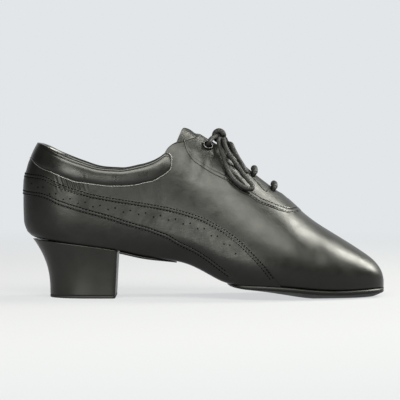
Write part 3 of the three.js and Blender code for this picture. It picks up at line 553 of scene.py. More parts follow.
ROUGHNESS_SWING = 0.07


def leather(name, dark, light, rough, grain, specular=0.3, mottle=0.25, gather=0.0):
    """Dressed leather: broad soft unevenness that calms towards the toe, fine grain and pores"""
    finish = Finish(name, {"Specular IOR Level": specular})
    where = finish.coords()
    ahead, _, up = finish.split(where)
    live = finish.between(ahead, 0.1, 0.16, 1.0, 0.2)
    finish.feed("Base Color", finish.colours(finish.noise(where, 90, 4), dark, light))
    patches = finish.noise(where, 130, 4) + finish.noise(where, 800, 2) * 0.4
    low, high = rough - ROUGHNESS_SWING, rough + ROUGHNESS_SWING
    finish.feed("Roughness", finish.between(patches, 0.45, 0.95, low, high))
    broad = finish.relief(finish.noise(where, 75, 3) * live, mottle)
    if gather:
        broad = finish.relief(gathers(finish, ahead, up), gather, broad)
    middle = finish.relief(finish.noise(where, 330, 3) * live, mottle * 0.16, broad)
    fine = finish.relief(finish.noise(where, 2600, 2), grain * 0.5, middle)
    finish.feed("Normal", finish.relief(finish.cells(where, 1500), grain, fine))
    return finish.material


CALF = (0.003, 0.003, 0.0028), (0.006, 0.006, 0.0056)
upper_leather = leather("upper_leather", *CALF, 0.36, 0.008, 0.22, 0.33, 0.2)
collar_leather = leather("collar_leather", *CALF, 0.31, 0.01, 0.3)
lining = leather("lining", (0.014, 0.014, 0.0145), (0.024, 0.024, 0.025), 0.65, 0.02, 0.25)
sole_black = leather("sole", (0.004, 0.004, 0.004), (0.009, 0.009, 0.008), 0.6, 0.03, 0.25)
edge_wax = leather("sole_edge", *CALF, 0.42, 0.004, 0.15, 0.05)
# The bead's gloss is real, but its grey is lighter than the calf: a painted highlight for the bright line
# along the collar's edge
bead_gloss_and_painted_highlight = leather("edge_bead", (0.02, 0.02, 0.018), (0.04, 0.04, 0.036), 0.25, 0.004, 0.9, 0.05)
heel_cover = leather(
    "heel_cover", (0.006, 0.0063, 0.0055), (0.01, 0.0105, 0.009), 0.36, 0.008, 0.22, 0.1
)
rubber = leather("top_piece", (0.006, 0.006, 0.006), (0.01, 0.01, 0.01), 0.6, 0.02, 0.25, 0.1)
thread = leather("thread", (0.0004, 0.0004, 0.0004), (0.0008, 0.0008, 0.0008), 0.95, 0.02, 0.02, 0.02)
# Near black for the holes and the slit: painted shade, laid on the skin in place of open holes and a cut
painted_hole_shade = leather("hole", (0.0005, 0.0005, 0.0005), (0.001, 0.001, 0.001), 0.9, 0.005, 0.05, 0.02)


def metal_finish():
    finish = Finish("eyelet_metal", {"Metallic": 1.0, "Base Color": (0.04, 0.04, 0.043, 1)})
    where = finish.coords()
    finish.feed("Roughness", finish.between(finish.noise(where, 900, 3), 0.3, 0.7, 0.24, 0.4))
    return finish.material


STRANDS = 8


def lace_finish():
    """Round braid: strands run both ways round the cord, on its own map of turns and lengths"""
    finish = Finish("lace", {"Specular IOR Level": 0.25})
    turn, along, _ = finish.split(finish.coords("UV"))
    one = finish.sine((turn * STRANDS + along) * math.tau)
    two = finish.sine((turn * STRANDS - along) * math.tau)
    braid = one * two
    height = finish.between(braid, -1, 1, 0, 1)
    # Painted shade and highlight: the base colour is darker in the braid's grooves and lighter on its
    # crowns
    finish.feed("Base Color", finish.colours(height, (0.002, 0.002, 0.0022), (0.011, 0.011, 0.011)))
    finish.feed("Roughness", finish.between(braid, -1, 1, 0.75, 0.5))
    fuzz = finish.relief(finish.noise(finish.coords(), 3000, 2), 0.03)
    finish.feed("Normal", finish.relief(braid, 0.12, fuzz))
    return finish.material


eyelet_metal = metal_finish()
lace_cord = lace_finish()


def finished(piece, slot, *materials):
    for material in materials:
        piece.data.materials.append(material)
    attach(piece, "root")
    return piece


# Lace tubes
FINE_STEPS = 12


def smooth_route(points, step):
    """A centripetal curve through the points, in even steps"""
    points = [Vector(p) for p in points]
    padded = [2 * points[0] - points[1]] + points + [2 * points[-1] - points[-2]]
    fine = []
    for a, b, c, d in zip(padded, padded[1:], padded[2:], padded[3:]):
        ta = 0
        tb = ta + (b - a).length ** 0.5
        tc = tb + (c - b).length ** 0.5
        td = tc + (d - c).length ** 0.5
        for k in range(FINE_STEPS):
            t = mix(tb, tc, k / FINE_STEPS)
            ab = a.lerp(b, (t - ta) / (tb - ta))
            bc = b.lerp(c, (t - tb) / (tc - tb))
            cd = c.lerp(d, (t - tc) / (td - tc))
            abc = ab.lerp(bc, (t - ta) / (tc - ta))
            bcd = bc.lerp(cd, (t - tb) / (td - tb))
            fine.append(abc.lerp(bcd, (t - tb) / (tc - tb)))
    fine.append(points[-1])
    lengths = [0]
    for a, b in zip(fine, fine[1:]):
        lengths.append(lengths[-1] + (b - a).length)
    count = max(2, round(lengths[-1] / step))
    even = []
    i = 0
    for k in range(count + 1):
        wanted = lengths[-1] * k / count
        while i < len(fine) - 2 and lengths[i + 1] < wanted:
            i += 1
        share = clamp((wanted - lengths[i]) / max(lengths[i + 1] - lengths[i], 1e-9))
        even.append(fine[i].lerp(fine[i + 1], share))
    return even, lengths[-1]


def tube_rings(route):
    """Two directions across the tube at each point, turning as little as they can"""
    count = len(route)
    frames = []
    side = None
    for k in range(count):
        ahead = route[min(k + 1, count - 1)]
        behind = route[max(k - 1, 0)]
        along = (ahead - behind).normalized()
        if side is None:
            side = along.orthogonal().normalized()
        side = (side - along * side.dot(along)).normalized()
        frames.append((side, along.cross(side)))
    return frames


SIDES = 16
BRAID = 2.1


def tube(name, points, radius, step=0.6, radius_at=None):
    """A round tube with closed ends, mapped by turns and lengths"""
    route, length = smooth_route(points, step)
    frames = tube_rings(route)
    rows = len(route) - 1

    def place(i, j):
        k = int(clamp(j - 1, 0, rows))
        side, other = frames[k]
        turn = math.tau * i / SIDES
        size = radius if radius_at is None else radius * radius_at(k / rows)
        if j in (0, rows + 2):
            size = 0
        return route[k] + (side * math.cos(turn) + other * math.sin(turn)) * size

    pitch = BRAID * radius
    made = sheets(name, [(SIDES, rows + 2, place, False)], uv=lambda i, j: (i / SIDES, j * step / pitch))
    return made, route, length


def cord_piece(name):
    made, route, length = tube(name.replace("lace_", "") + "_cord", CORD_ROUTES[name], LACE / 2)
    finished(made, "lace", lace_cord)
    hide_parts(name)
    tuple(route[0] * MM)
    length * MM
    [tuple(p * MM) for p in route]


cord_piece("lace_loop_outer")
cord_piece("lace_loop_inner")
cord_piece("lace_end_outer")
cord_piece("lace_end_inner")


# Upper: a hollow lasted shell, both sides in one skin
topline = curve_of(TOPLINE)
collar_seam = curve_of(COLLAR_SEAM)
facing_edge = curve_of(FACING_EDGE)
wing_top = curve_of(WING_TOP)
wing_foot = curve_of(WING_FOOT)
tongue_back = curve_of(TONGUE_BACK)
tongue_foot = curve_of(TONGUE_FOOT)
slit_line = curve_of(SLIT)


def throat_height(side, x, spare=0.0):
    """Height of the throat's edge at x, or of the ridge in front of it"""
    section = section_at(x)
    half = THROAT_WIDTH / 2 + spare
    end = x_of(THROAT_FRONT) + spare
    centre = end - half
    if x >= end:
        return section.ridge
    if x > centre:
        half = math.sqrt(max(0, half * half - (x - centre) ** 2))
    share = max(0, 1 - (half / section.half[side]) ** section.full) ** (1 / section.full)
    return section.widest + (section.ridge - section.widest) * share


def stations(first, final, count):
    return [mix(first, final, i / count) for i in range(count + 1)]


FAN = 26
LONG = 175
TIP = 34
TIP_FROM = 205
UPPER_STATIONS = stations(U_BACK, HEEL_CENTRE, FAN)[:-1] + stations(HEEL_CENTRE, TIP_FROM, LONG)[:-1]
UPPER_STATIONS += [mix(TIP_FROM, TOE, math.sin(math.pi / 2 * i / TIP)) for i in range(TIP + 1)]
UNDER_ROWS = 6
CORNER_ROWS = 6
LOW_ROWS = 9
FLANK_ROWS = 46
UPPER_ROWS = UNDER_ROWS + CORNER_ROWS + LOW_ROWS + FLANK_ROWS
CORNER = 2.2
UPPER_WALL = 1.8


UNDER_COLLAR = 2.0
COLLAR_MEETS = (0.384, 0.391)


def upper_top(side, u):
    """The skin's upper edge: a little above the collar's seam, and the topline in front of that"""
    at = (nominal(u) - BACK) / LENGTH
    seam = crossing(collar_seam, side, u) + UNDER_COLLAR
    if at < COLLAR_MEETS[0]:
        return seam
    high = min(height_on(u, topline(at)), throat_height(side, u))
    return mix(seam, high, ease(at, *COLLAR_MEETS))


def flank_height(section, share, top):
    """Heights from the widest line up to top, closer together where the section turns over"""
    rise = section.ridge - section.widest
    sweep = math.asin(clamp((top - section.widest) / rise) ** (section.full / 2))
    return section.widest + rise * math.sin(sweep * share) ** (2 / section.full)


def toward_middle(side, u, z, share):
    """The point at that share of the way out from the shoe's middle to its skin"""
    edge = skin(side, u, z)
    section = section_at(nominal(u))
    if u >= HEEL_CENTRE:
        return Vector((edge.x, mix(section.leaned(z), edge.y, share), z))
    return Vector((mix(HEEL_CENTRE, edge.x, share), edge.y * share, z))


MARGIN = 8
SHUT_FROM = (14, 22)
SHUT_TO = (116, 122)


def margin_end(u, side):
    """How far the turned-in margin leaves the underside open, as a share of the half width"""
    section = section_at(nominal(u))
    half = max(section.half[side] * section.tuck, MARGIN + 0.5)
    open_share = 1 - MARGIN / half
    x = nominal(u)
    shut = ease(x, *SHUT_FROM) * (1 - ease(x, *SHUT_TO))
    return open_share * (1 - shut)


upper_tops = {}


def upper_place(side, i, j):
    u = UPPER_STATIONS[i]
    section = section_at(nominal(u))
    corner = min(CORNER, 0.25 * (section.widest - section.feather))
    if j <= UNDER_ROWS:
        half = max(section.half[side] * section.tuck, 0.01)
        end = max(0, 1 - CORNER / half)
        share = mix(min(margin_end(u, side), end), end, j / UNDER_ROWS)
        point = toward_middle(side, u, section.feather, share)
        point.z = section.under(share)
        return point
    j -= UNDER_ROWS
    if j < CORNER_ROWS:
        half = max(section.half[side] * section.tuck, 0.01)
        end = max(0, 1 - CORNER / half)
        first = toward_middle(side, u, section.feather, end)
        first.z = section.under(end)
        middle = skin(side, u, section.feather)
        final = skin(side, u, section.feather + corner)
        t = j / CORNER_ROWS
        return first * (1 - t) ** 2 + middle * 2 * t * (1 - t) + final * t * t
    j -= CORNER_ROWS
    if j < LOW_ROWS:
        return skin(side, u, mix(section.feather + corner, section.widest, j / LOW_ROWS))
    j -= LOW_ROWS
    if (side, i) not in upper_tops:
        upper_tops[side, i] = upper_top(side, u)
    return skin(side, u, flank_height(section, j / FLANK_ROWS, upper_tops[side, i]))


# Creases of the leather, in mm of the side view: two ends, width, depth (outwards where positive), sides
CREASES = [
    ((86.0, 111.0), (85.0, 95.0), 3.4, -0.42, (OUTER,)),
    ((91.5, 113.0), (92.0, 99.0), 3.2, 0.2, (OUTER,)),
    ((79.0, 109.0), (77.0, 97.0), 3.4, 0.18, (OUTER,)),
    ((96.0, 104.0), (92.0, 92.0), 3.2, -0.35, (OUTER, INNER)),
    ((86.0, 110.0), (82.0, 92.0), 3.2, -0.45, (INNER,)),
    ((104.0, 112.0), (100.0, 98.0), 3.4, -0.35, (OUTER, INNER)),
    ((168.0, 60.0), (171.0, 36.0), 5.0, -0.1, (OUTER, INNER)),
    ((178.0, 55.0), (182.0, 34.0), 5.0, -0.08, (OUTER, INNER)),
    ((60.0, 62.0), (86.0, 52.0), 7.0, -0.35, (OUTER, INNER)),
    ((8.0, 74.0), (32.0, 66.0), 8.0, -0.25, (OUTER, INNER)),
]


CREASE_REACH = 2.5
CREASE_FALL = 1.4


def crease_out(point):
    """How far the creases move a point of the skin out, in mm"""
    total = 0.0
    for start, end, width, depth, sides in CREASES:
        if (OUTER if point.y < 3 else INNER) not in sides:
            continue
        ax, az = start
        bx, bz = end
        length = (bx - ax) ** 2 + (bz - az) ** 2
        t = clamp(((point.x - ax) * (bx - ax) + (point.z - az) * (bz - az)) / length)
        away = math.hypot(point.x - mix(ax, bx, t), point.z - mix(az, bz, t)) / width
        if away < CREASE_REACH:
            total += depth * math.exp(-away * away * CREASE_FALL)
    return total


upper = both_sides("upper_skin", UPPER_STATIONS, UPPER_ROWS, upper_place)
swell(upper, crease_out)
finished(upper, "upper_leather", upper_leather, lining)
thicken(upper, UPPER_WALL, 1)
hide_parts("upper")


# Overlays: a sheet on the skin whose edges roll down to it
def rolled(distance, radius=1.1):
    """Height of a folded edge at a distance from it, as a share of its full height"""
    t = clamp(distance / radius)
    return math.sqrt(max(0, 1 - (1 - t) ** 2))


SEAM_FIRST = 0.85
SEAM_SECOND = 3.2
SEAM_DEPTH = 0.18
SEAM_HALF = 0.32
EDGE_ROWS = [0.0, 0.12, 0.28, 0.5, 0.68, 0.85, 1.02, 1.3, 2.0, 2.75, 3.03, 3.2, 3.37, 3.65, 4.4]


def seam_dip(distance):
    """How far the stitches draw the leather down at a distance from its edge, in mm"""
    rows = (SEAM_FIRST, SEAM_SECOND)
    return sum(SEAM_DEPTH * math.exp(-(((distance - row) / SEAM_HALF) ** 2)) for row in rows)


def graded(low, high, count):
    """Heights from low to high with close steps at both edges, in mm along z"""
    span = high - low
    ends = [d for d in EDGE_ROWS if d < 0.3 * span]
    while len(ends) < len(EDGE_ROWS):
        ends.append(0.3 * span)
    start = ends[-1]
    inner = [mix(start, span - start, k / (count + 1)) for k in range(1, count + 1)]
    heights = ends + inner + [span - d for d in reversed(ends)]
    return [low + h for h in heights]


WING_STATIONS = stations(U_BACK, HEEL_CENTRE, 24)[:-1] + stations(HEEL_CENTRE, x_of(0.707), 150)
WING_INNER_ROWS = 16
WING_LIFT = 0.14
WING_RISE = 0.26
WING_ROWS = WING_INNER_ROWS + 2 * len(EDGE_ROWS) - 1
wing_store = {}


def wing_heights(side, i):
    if (side, i) not in wing_store:
        u = WING_STATIONS[i]
        low = crossing(wing_foot, side, u, 0.2)
        high = max(crossing(wing_top, side, u), low + 0.05)
        wing_store[side, i] = graded(low, high, WING_INNER_ROWS)
    return wing_store[side, i]


def wing_place(side, i, j):
    heights = wing_heights(side, i)
    u = WING_STATIONS[i]
    z = heights[j]
    section = section_at(nominal(u))
    low = z - heights[0] if heights[0] > section.feather + 0.5 else 9
    reach = min(low, heights[-1] - z)
    return laid(side, u, z, WING_LIFT + WING_RISE * rolled(reach) - seam_dip(reach))


wing = both_sides("wing_band_skin", WING_STATIONS, WING_ROWS, wing_place)
swell(wing, crease_out)
finished(wing, "upper_leather", upper_leather)
thicken(wing, OVERLAY)
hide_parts("wing_band")


# Facing, with its slit
FACING_STATIONS = stations(x_of(0.4448), x_of(0.7698), 150)
FACING_LOW_ROWS = 22
FACING_HIGH_ROWS = 6
FACING_LIFT = 0.12
FACING_RISE = 0.42
SLIT_DEPTH = 0.55
SLIT_LIMITS = (0.55, 0.93)
SLIT_STARTS = (0.505, 0.515)
SLIT_ENDS = (0.66, 0.668)
SOFT_PART = (0.52, 0.6)
facing_store = {}


def facing_heights(side, i):
    if (side, i) in facing_store:
        return facing_store[side, i]
    x = FACING_STATIONS[i]
    at = (x - BACK) / LENGTH
    section = section_at(x)
    low = height_on(x, facing_edge(at))
    high = min(height_on(x, topline(at)), throat_height(side, x, 0.4))
    high = max(high, low + 0.05)
    slit = height_on(x, slit_line(at)) if at > 0.5 else high
    slit = clamp(slit, *[mix(low, high, share) for share in SLIT_LIMITS])
    facing_store[side, i] = (graded(low, slit, FACING_LOW_ROWS), graded(slit, high, FACING_HIGH_ROWS))
    return facing_store[side, i]


FACING_ROWS = FACING_LOW_ROWS + FACING_HIGH_ROWS + 4 * len(EDGE_ROWS) - 2


def facing_place(side, i, j):
    lower, higher = facing_heights(side, i)
    x = FACING_STATIONS[i]
    at = (x - BACK) / LENGTH
    z = lower[j] if j < len(lower) else higher[j - len(lower) + 1]
    groove = ease(at, *SLIT_STARTS) * (1 - ease(at, *SLIT_ENDS))
    far = abs(z - lower[-1])
    plain = mix(0.3, 1, ease(at, *SOFT_PART))
    edge = rolled(z - lower[0]) * plain + 1 - plain
    if at < THROAT_FRONT + 0.02:
        edge = min(edge, rolled(higher[-1] - z))
    out = FACING_LIFT + FACING_RISE * edge - seam_dip(z - lower[0]) * plain
    out -= groove * SLIT_DEPTH * (1 - rolled(far, 0.6))
    top = section_at(x).ridge
    if z > top - 0.02:
        return Vector((x, section_at(x).leaned(top), top + out))
    return laid(side, x, min(z, top - 0.01), out)


facing = both_sides("facing_skin", FACING_STATIONS, FACING_ROWS, facing_place)
swell(facing, crease_out)
finished(facing, "upper_leather", upper_leather)
thicken(facing, OVERLAY)
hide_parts("facing")


# Padded collar
collar_top = curve_of([row for row in TOPLINE if row[0] < COLLAR_FRONT[0][0]] + COLLAR_FRONT)
COLLAR_END = COLLAR_FRONT[-1][0]
COLLAR_STATIONS = stations(U_BACK, HEEL_CENTRE, 30)[:-1]
COLLAR_STATIONS += stations(HEEL_CENTRE, x_of(COLLAR_END - 0.0015), 90)
COLLAR_OUT = 1.4
COLLAR_IN = 1.5
COLLAR_RING = [
    (0.02, 0.0), (0.03, 0.35), (0.07, 0.62), (0.14, 0.86), (0.24, 1.02), (0.36, 1.1), (0.5, 1.1),
    (0.62, 1.02), (0.72, 0.9), (0.79, 0.66), (0.815, 0.48), (0.84, 0.66), (0.88, 0.7), (0.93, 0.5),
    (0.97, 0.1), (0.995, -0.5), (1.0, -1.2), (0.99, -2.0), (0.95, -2.8), (0.86, -3.4), (0.7, -3.6),
    (0.5, -3.6), (0.3, -3.3), (0.12, -2.4), (0.03, -1.4),
]


def collar_place(side, i, j):
    u = COLLAR_STATIONS[i]
    at = (nominal(u) - BACK) / LENGTH
    low = crossing(collar_seam, side, u)
    high = max(crossing(collar_top, side, u), low + 0.4)
    swelling = math.sqrt(clamp((COLLAR_END - at) / 0.04, 0.02, 1))
    share, out = COLLAR_RING[j % len(COLLAR_RING)]
    z = mix(low, high, share)
    point = skin(side, u, z)
    gather = 0.0
    if -24 < point.x < 6 and 0.02 < share < 0.5 and out > 0:
        gather = 0.22 * math.sin(point.x * 1.45 + 0.6 * z) * (1 - ease(share, 0.1, 0.5))
        gather *= ease(point.x, -24, -16) * (1 - ease(point.x, -2, 6))
    if out > 0:
        out *= COLLAR_OUT * swelling * mix(0.2, 1.0, ease(at, 0.0, 0.14))
    else:
        out *= COLLAR_IN * mix(1, 0.4, ease(at, 0.33, 0.4))
    return point + normal_at(side, u, z) * (out + gather)


collar = both_sides("collar_pad", COLLAR_STATIONS, len(COLLAR_RING), collar_place)
finished(collar, "collar_leather", collar_leather)
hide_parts("collar")


# Tongue
TONGUE_STATIONS = stations(x_of(0.405), x_of(0.742), 110)
TONGUE_ROWS = 34
TONGUE_PEAK = 133.6
TONGUE_CREST = 79.4
TONGUE_BEND = 0.055
TONGUE_BENT = 9
TONGUE_DEPTH = 2.2
TONGUE_WALL = 2.2


def tongue_place(side, i, j):
    x = TONGUE_STATIONS[i]
    at = (x - BACK) / LENGTH
    section = section_at(x)
    low = height_on(x, tongue_foot(at))
    high = min(section.ridge, height_on(x, tongue_back(at)))
    high = min(high, TONGUE_PEAK - TONGUE_BEND * min(abs(x - TONGUE_CREST), TONGUE_BENT) ** 2)
    z = mix(low, high, 1 - (1 - j / TONGUE_ROWS) ** 1.6)
    if z > section.ridge - 0.02:
        return Vector((x, section.leaned(section.ridge), section.ridge - TONGUE_DEPTH))
    return laid(side, x, z, -TONGUE_DEPTH)


tongue = both_sides("tongue_skin", TONGUE_STATIONS, TONGUE_ROWS, tongue_place)
finished(tongue, "upper_leather", upper_leather, lining)
thicken(tongue, TONGUE_WALL, 1)
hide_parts("tongue")


# Insole
INSOLE_STATIONS = stations(x_of(0.03), x_of(0.985), 120)
INSOLE_ACROSS = 24
INSOLE_RISE = 5.2
INSOLE_BACK = BACK + 9
INSOLE_WALL = 3.0


def insole_place(i, j):
    x = INSOLE_STATIONS[i]
    section = section_at(x)
    v = 2 * j / INSOLE_ACROSS - 1
    side = OUTER if v < 0 else INNER
    z = section.feather + INSOLE_RISE
    if x < HEEL_CENTRE:
        share = clamp((HEEL_CENTRE - x) / (HEEL_CENTRE - INSOLE_BACK))
        half = (section.half[side] - 3.5) * max(0, 1 - share**PLAN_FULL) ** (1 / PLAN_FULL)
    else:
        half = max(0.3, section.half[side] * section.flank(z) - 3.2)
    return Vector((x, section.leaned(z) + v * half, z + 1.2 * abs(v) ** 4 - 0.6 * (1 - v * v)))


insole = sheets("insole_sock", [(len(INSOLE_STATIONS) - 1, INSOLE_ACROSS, insole_place, False)])
finished(insole, "lining", lining)
thicken(insole, INSOLE_WALL)
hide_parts("insole")


# Soles: rings across the shoe, from one end to the other
def feather_half(section, v):
    return section.half[OUTER if v < 0 else INNER] * section.tuck + EDGE_STEP


ACROSS = [-1, -0.97, -0.92, -0.84, -0.72, -0.56, -0.38, -0.19, 0]
ACROSS += [-v for v in reversed(ACROSS[:-1])]
SOLE_SINK = 0.25
EDGE_BULGE = 0.35
SOLE_FLAT = 0.7


def sole_piece(name, places, half_at, foot_at, edge_at):
    """Top face, edge and foot of a sole; the edge is its own strip of rows, in waxed leather"""
    ring = [(v, "top") for v in ACROSS] + [(1, "edge")]
    ring += [(v, "foot") for v in reversed(ACROSS)] + [(-1, "edge")]

    def place(i, j):
        x = places[i]
        section = section_at(min(x, TOE - 0.02))
        v, face = ring[j % len(ring)]
        top = (section.feather if abs(v) == 1 else section.under(v)) - SOLE_SINK
        foot = foot_at(section, v)
        bulge = 0.0
        if face == "edge":
            z = (top + edge_at(section)) / 2
            bulge = EDGE_BULGE
        else:
            z = top if face == "top" else min(foot, top - 0.2)
        half = half_at(section, x, v)
        return Vector((x, section.middle + v * (half + (bulge if half > 1 else 0)), z))

    made = sheets(name, [(len(places) - 1, len(ring), place, False)], weld=SKIN_WELD)
    finished(turned_outward(made, fill=True), "sole", sole_black, edge_wax)
    for face in made.data.polygons:
        face.material_index = 1 if abs(face.normal.z) < SOLE_FLAT else 0
    return made


FORE_FROM = x_of(0.564)
FORE_TO = TOE
FORE_STEPS = 120
fore_places = [
    FORE_FROM + (FORE_TO - FORE_FROM) * (0.5 - 0.5 * math.cos(math.pi * i / FORE_STEPS))
    for i in range(FORE_STEPS + 1)
]


def fore_half(section, x, v):
    t = max(0, 1 - (x - FORE_FROM) / SOLE_CORNER)
    return feather_half(section, v) * max(0, 1 - t**3) ** (1 / 3) * (1 if x < FORE_TO - 0.01 else 0)


def fore_edge(section):
    return section.feather - min(SOLE_EDGE, 0.6 * section.depth + 0.8)


def fore_foot(section, v):
    edge = fore_edge(section)
    middle = max(0, section.feather - section.depth)
    tread = 0 if abs(v) <= 0.5 else ((abs(v) - 0.5) / 0.5) ** 2
    return min(mix(middle, edge, tread), section.under(v) - 0.5 * WAIST_SOLE)


forefoot_sole = sole_piece("forefoot_sole_skin", fore_places, fore_half, fore_foot, fore_edge)
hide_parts("forefoot_sole")

WAIST_FROM = HEEL_BREAST + 1.7
WAIST_TO = x_of(0.425)
WAIST_STEPS = 70
waist_places = [
    WAIST_FROM + (WAIST_TO - WAIST_FROM) * math.sin(math.pi / 2 * i / WAIST_STEPS)
    for i in range(WAIST_STEPS + 1)
]


def waist_half(section, x, v):
    t = clamp((x - WAIST_FROM) / (WAIST_TO - WAIST_FROM))
    return feather_half(section, v) * max(0, 1 - t**5) ** 0.5


def waist_foot(section, v):
    return section.under(v) - GAP - WAIST_SOLE


def waist_edge(section):
    return section.feather - GAP - WAIST_SOLE


waist_sole = sole_piece("waist_sole_skin", waist_places, waist_half, waist_foot, waist_edge)
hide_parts("waist_sole")


# Heel: rings from its foot to its seat
ROUND_CORNER = 2.5
ROUND_STEPS = 26


def heel_outline(share, inset):
    """One half of the heel's outline at a height, from the middle of its back to that of its breast"""
    flare = share**HEEL_FLARE
    seat = section_at(HEEL_CENTRE)
    seat_back = BACK + HEEL_WIDTH * back_seam(0) - EDGE_STEP
    breast = HEEL_BREAST - HEEL_BREAST_LEAN * (1 - share) - inset
    back = mix(-HEEL_BASE_LENGTH / 2, seat_back, flare) + inset
    wide = mix(HEEL_BASE_WIDTH / 2, seat.half[OUTER] * seat.tuck + EDGE_STEP, flare) - inset
    centre = 0.15 * HEEL_BASE_LENGTH * (1 - flare)
    points = []
    for k in range(ROUND_STEPS + 1):
        turn = math.pi / 2 * k / ROUND_STEPS
        along = max(0, math.cos(turn)) ** (2 / PLAN_FULL)
        points.append((centre - (centre - back) * along, wide * math.sin(turn) ** (2 / PLAN_FULL)))
    corner = max(0.4, ROUND_CORNER - inset)
    for k in range(1, 8):
        points.append((mix(centre, breast - corner, k / 8), wide))
    for k in range(7):
        turn = math.pi / 2 * k / 6
        x = breast - corner + corner * math.sin(turn)
        points.append((x, wide - corner + corner * math.cos(turn)))
    for k in range(1, 6):
        points.append((breast, (wide - corner) * (1 - k / 5)))
    return points


def ring_piece(name, levels):
    """A closed block from level rings: each is (share of the heel's height, inset, height at x)"""
    outlines = [heel_outline(share, inset) for share, inset, _ in levels]
    half = len(outlines[0])
    around = 2 * (half - 1)

    def place(i, j):
        k = i % around
        share, inset, height = levels[int(clamp(j - 1, 0, len(levels) - 1))]
        outline = outlines[int(clamp(j - 1, 0, len(levels) - 1))]
        x, y = outline[k] if k < half else outline[around - k]
        y = -y if k < half else y
        if j in (0, len(levels) + 1):
            x, y = 0.0, 0.0
        return Vector((x, y, height(x)))

    return turned_outward(sheets(name, [(around, len(levels) + 1, place, False)], weld=2e-6))


def heel_level(share, inset=0.0, drop=0.0):
    foot = TOP_PIECE + 0.15

    def height(x):
        seat = section_at(max(x, BACK)).feather - 0.1
        return foot + share * (seat - foot) - drop

    return share, inset, height


heel_levels = [heel_level(0.0, 0.45), heel_level(0.004, 0.15), heel_level(0.012)]
heel_levels += [heel_level(k / 36) for k in range(1, 36)]
heel_levels += [heel_level(0.99), heel_level(1.0, 0.0, 0.05)]
heel = ring_piece("heel_block", heel_levels)
finished(heel, "heel_cover", heel_cover)
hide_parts("heel")


def flat_level(height, inset):
    return 0.0, inset, lambda x: height


top_piece = ring_piece(
    "top_piece_block",
    [flat_level(0.0, 0.5), flat_level(0.12, 0.2), flat_level(0.4, 0.0), flat_level(TOP_PIECE - 0.3, 0.0),
     flat_level(TOP_PIECE - 0.05, 0.15), flat_level(TOP_PIECE, 0.4)],
)
finished(top_piece, "top_piece", rubber)
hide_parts("heel_top_piece")

LACE_ROWS = [0.573, 0.635, 0.69]
LACE_ASIDE = 0.9
EYELET_X = x_of(0.509)
EYELET_SPOT = (EYELET_X, height_on(EYELET_X, 0.925))


def lace_spot(side, at):
    x = x_of(at)
    section = section_at(x)
    aside = LACE_ASIDE * THROAT_WIDTH / section.half[side]
    share = max(0, 1 - aside**section.full) ** (1 / section.full)
    return x, section.widest + (section.ridge - section.widest) * share


EYELET_SEGMENTS = 40
EYELET_OUT = 1.2


def eyelet_ring(name, side):
    """The eyelet's profile of (radius, height) spun round the skin's normal at its spot"""
    mesh_maker = bmesh.new()
    verts = [mesh_maker.verts.new((r * MM, 0, h * MM)) for r, h in EYELET_PROFILE]
    edges = [mesh_maker.edges.new(pair) for pair in zip(verts, verts[1:] + verts[:1])]
    bmesh.ops.spin(
        mesh_maker,
        geom=verts + edges,
        cent=(0, 0, 0),
        axis=(0, 0, 1),
        angle=math.tau,
        steps=EYELET_SEGMENTS,
        use_merge=True,
    )
    bmesh.ops.remove_doubles(mesh_maker, verts=mesh_maker.verts, dist=1e-6)
    bmesh.ops.recalc_face_normals(mesh_maker, faces=mesh_maker.faces)
    turn = normal_at(side, *EYELET_SPOT).to_track_quat("Z", "Y").to_matrix().to_4x4()
    place = Matrix.Translation(laid(side, *EYELET_SPOT, EYELET_OUT) * MM) @ turn
    bmesh.ops.transform(mesh_maker, matrix=place, verts=mesh_maker.verts)
    made = finished(piece_of("eyelet_" + name + "_ring", mesh_maker), "eyelet_metal", eyelet_metal)
    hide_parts("eyelet_" + name)


bore = EYELET_BORE / 2
rim = EYELET_WIDTH / 2
EYELET_PROFILE = [
    (bore, -1.8), (bore + 0.4, -1.8), (bore + 0.4, 0.0), (rim, 0.0), (rim + 0.02, 0.2),
    (rim - 0.15, 0.5), (rim - 0.55, 0.78), (rim - 1.0, 0.82), (rim - 1.45, 0.6), (bore, 0.1),
]
eyelet_ring("outer", OUTER)
eyelet_ring("inner", INNER)


# Lace bars
RIDGE_NORMAL = Vector((0.55, 0, 0.83))
SHOULDER_INWARD = 0.45
SHOULDER_RISE = 1.12
CREST_RISE = 0.8
BAR_ROOT = 1.6


def bar_route(at):
    """From under the lace stay out of its hole, over the ridge and into the other hole"""
    ride = GAP + LACE / 2
    out = GAP + OVERLAY
    section = section_at(x_of(at))
    ridge_y = section.middle + section.lean
    ends = []
    for side in (OUTER, INNER):
        x, z = lace_spot(side, at)
        near = laid(side, x, z, out)
        normal = normal_at(side, x, z)
        inward = near.lerp(Vector((x, ridge_y, near.z)), SHOULDER_INWARD)
        inward.z = mix(near.z, section.ridge + out / 2, 0.8)
        root = near - normal * BAR_ROOT
        ends.append([root, near + normal * 0.6 * ride, inward + RIDGE_NORMAL * SHOULDER_RISE * ride])
    crest = Vector((x_of(at), ridge_y, section.ridge)) + RIDGE_NORMAL * CREST_RISE * ride
    return ends[0] + [crest] + ends[1][::-1]


def bar_fullness(share):
    return mix(0.6, 1.3, ease(min(share, 1 - share), 0.02, 0.16))


for number, at in enumerate(LACE_ROWS, 1):
    bar, _, _ = tube("bar_" + str(number) + "_cord", bar_route(at), LACE / 2, radius_at=bar_fullness)
    finished(bar, "lace", lace_cord)
    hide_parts("lace_bar_" + str(number))

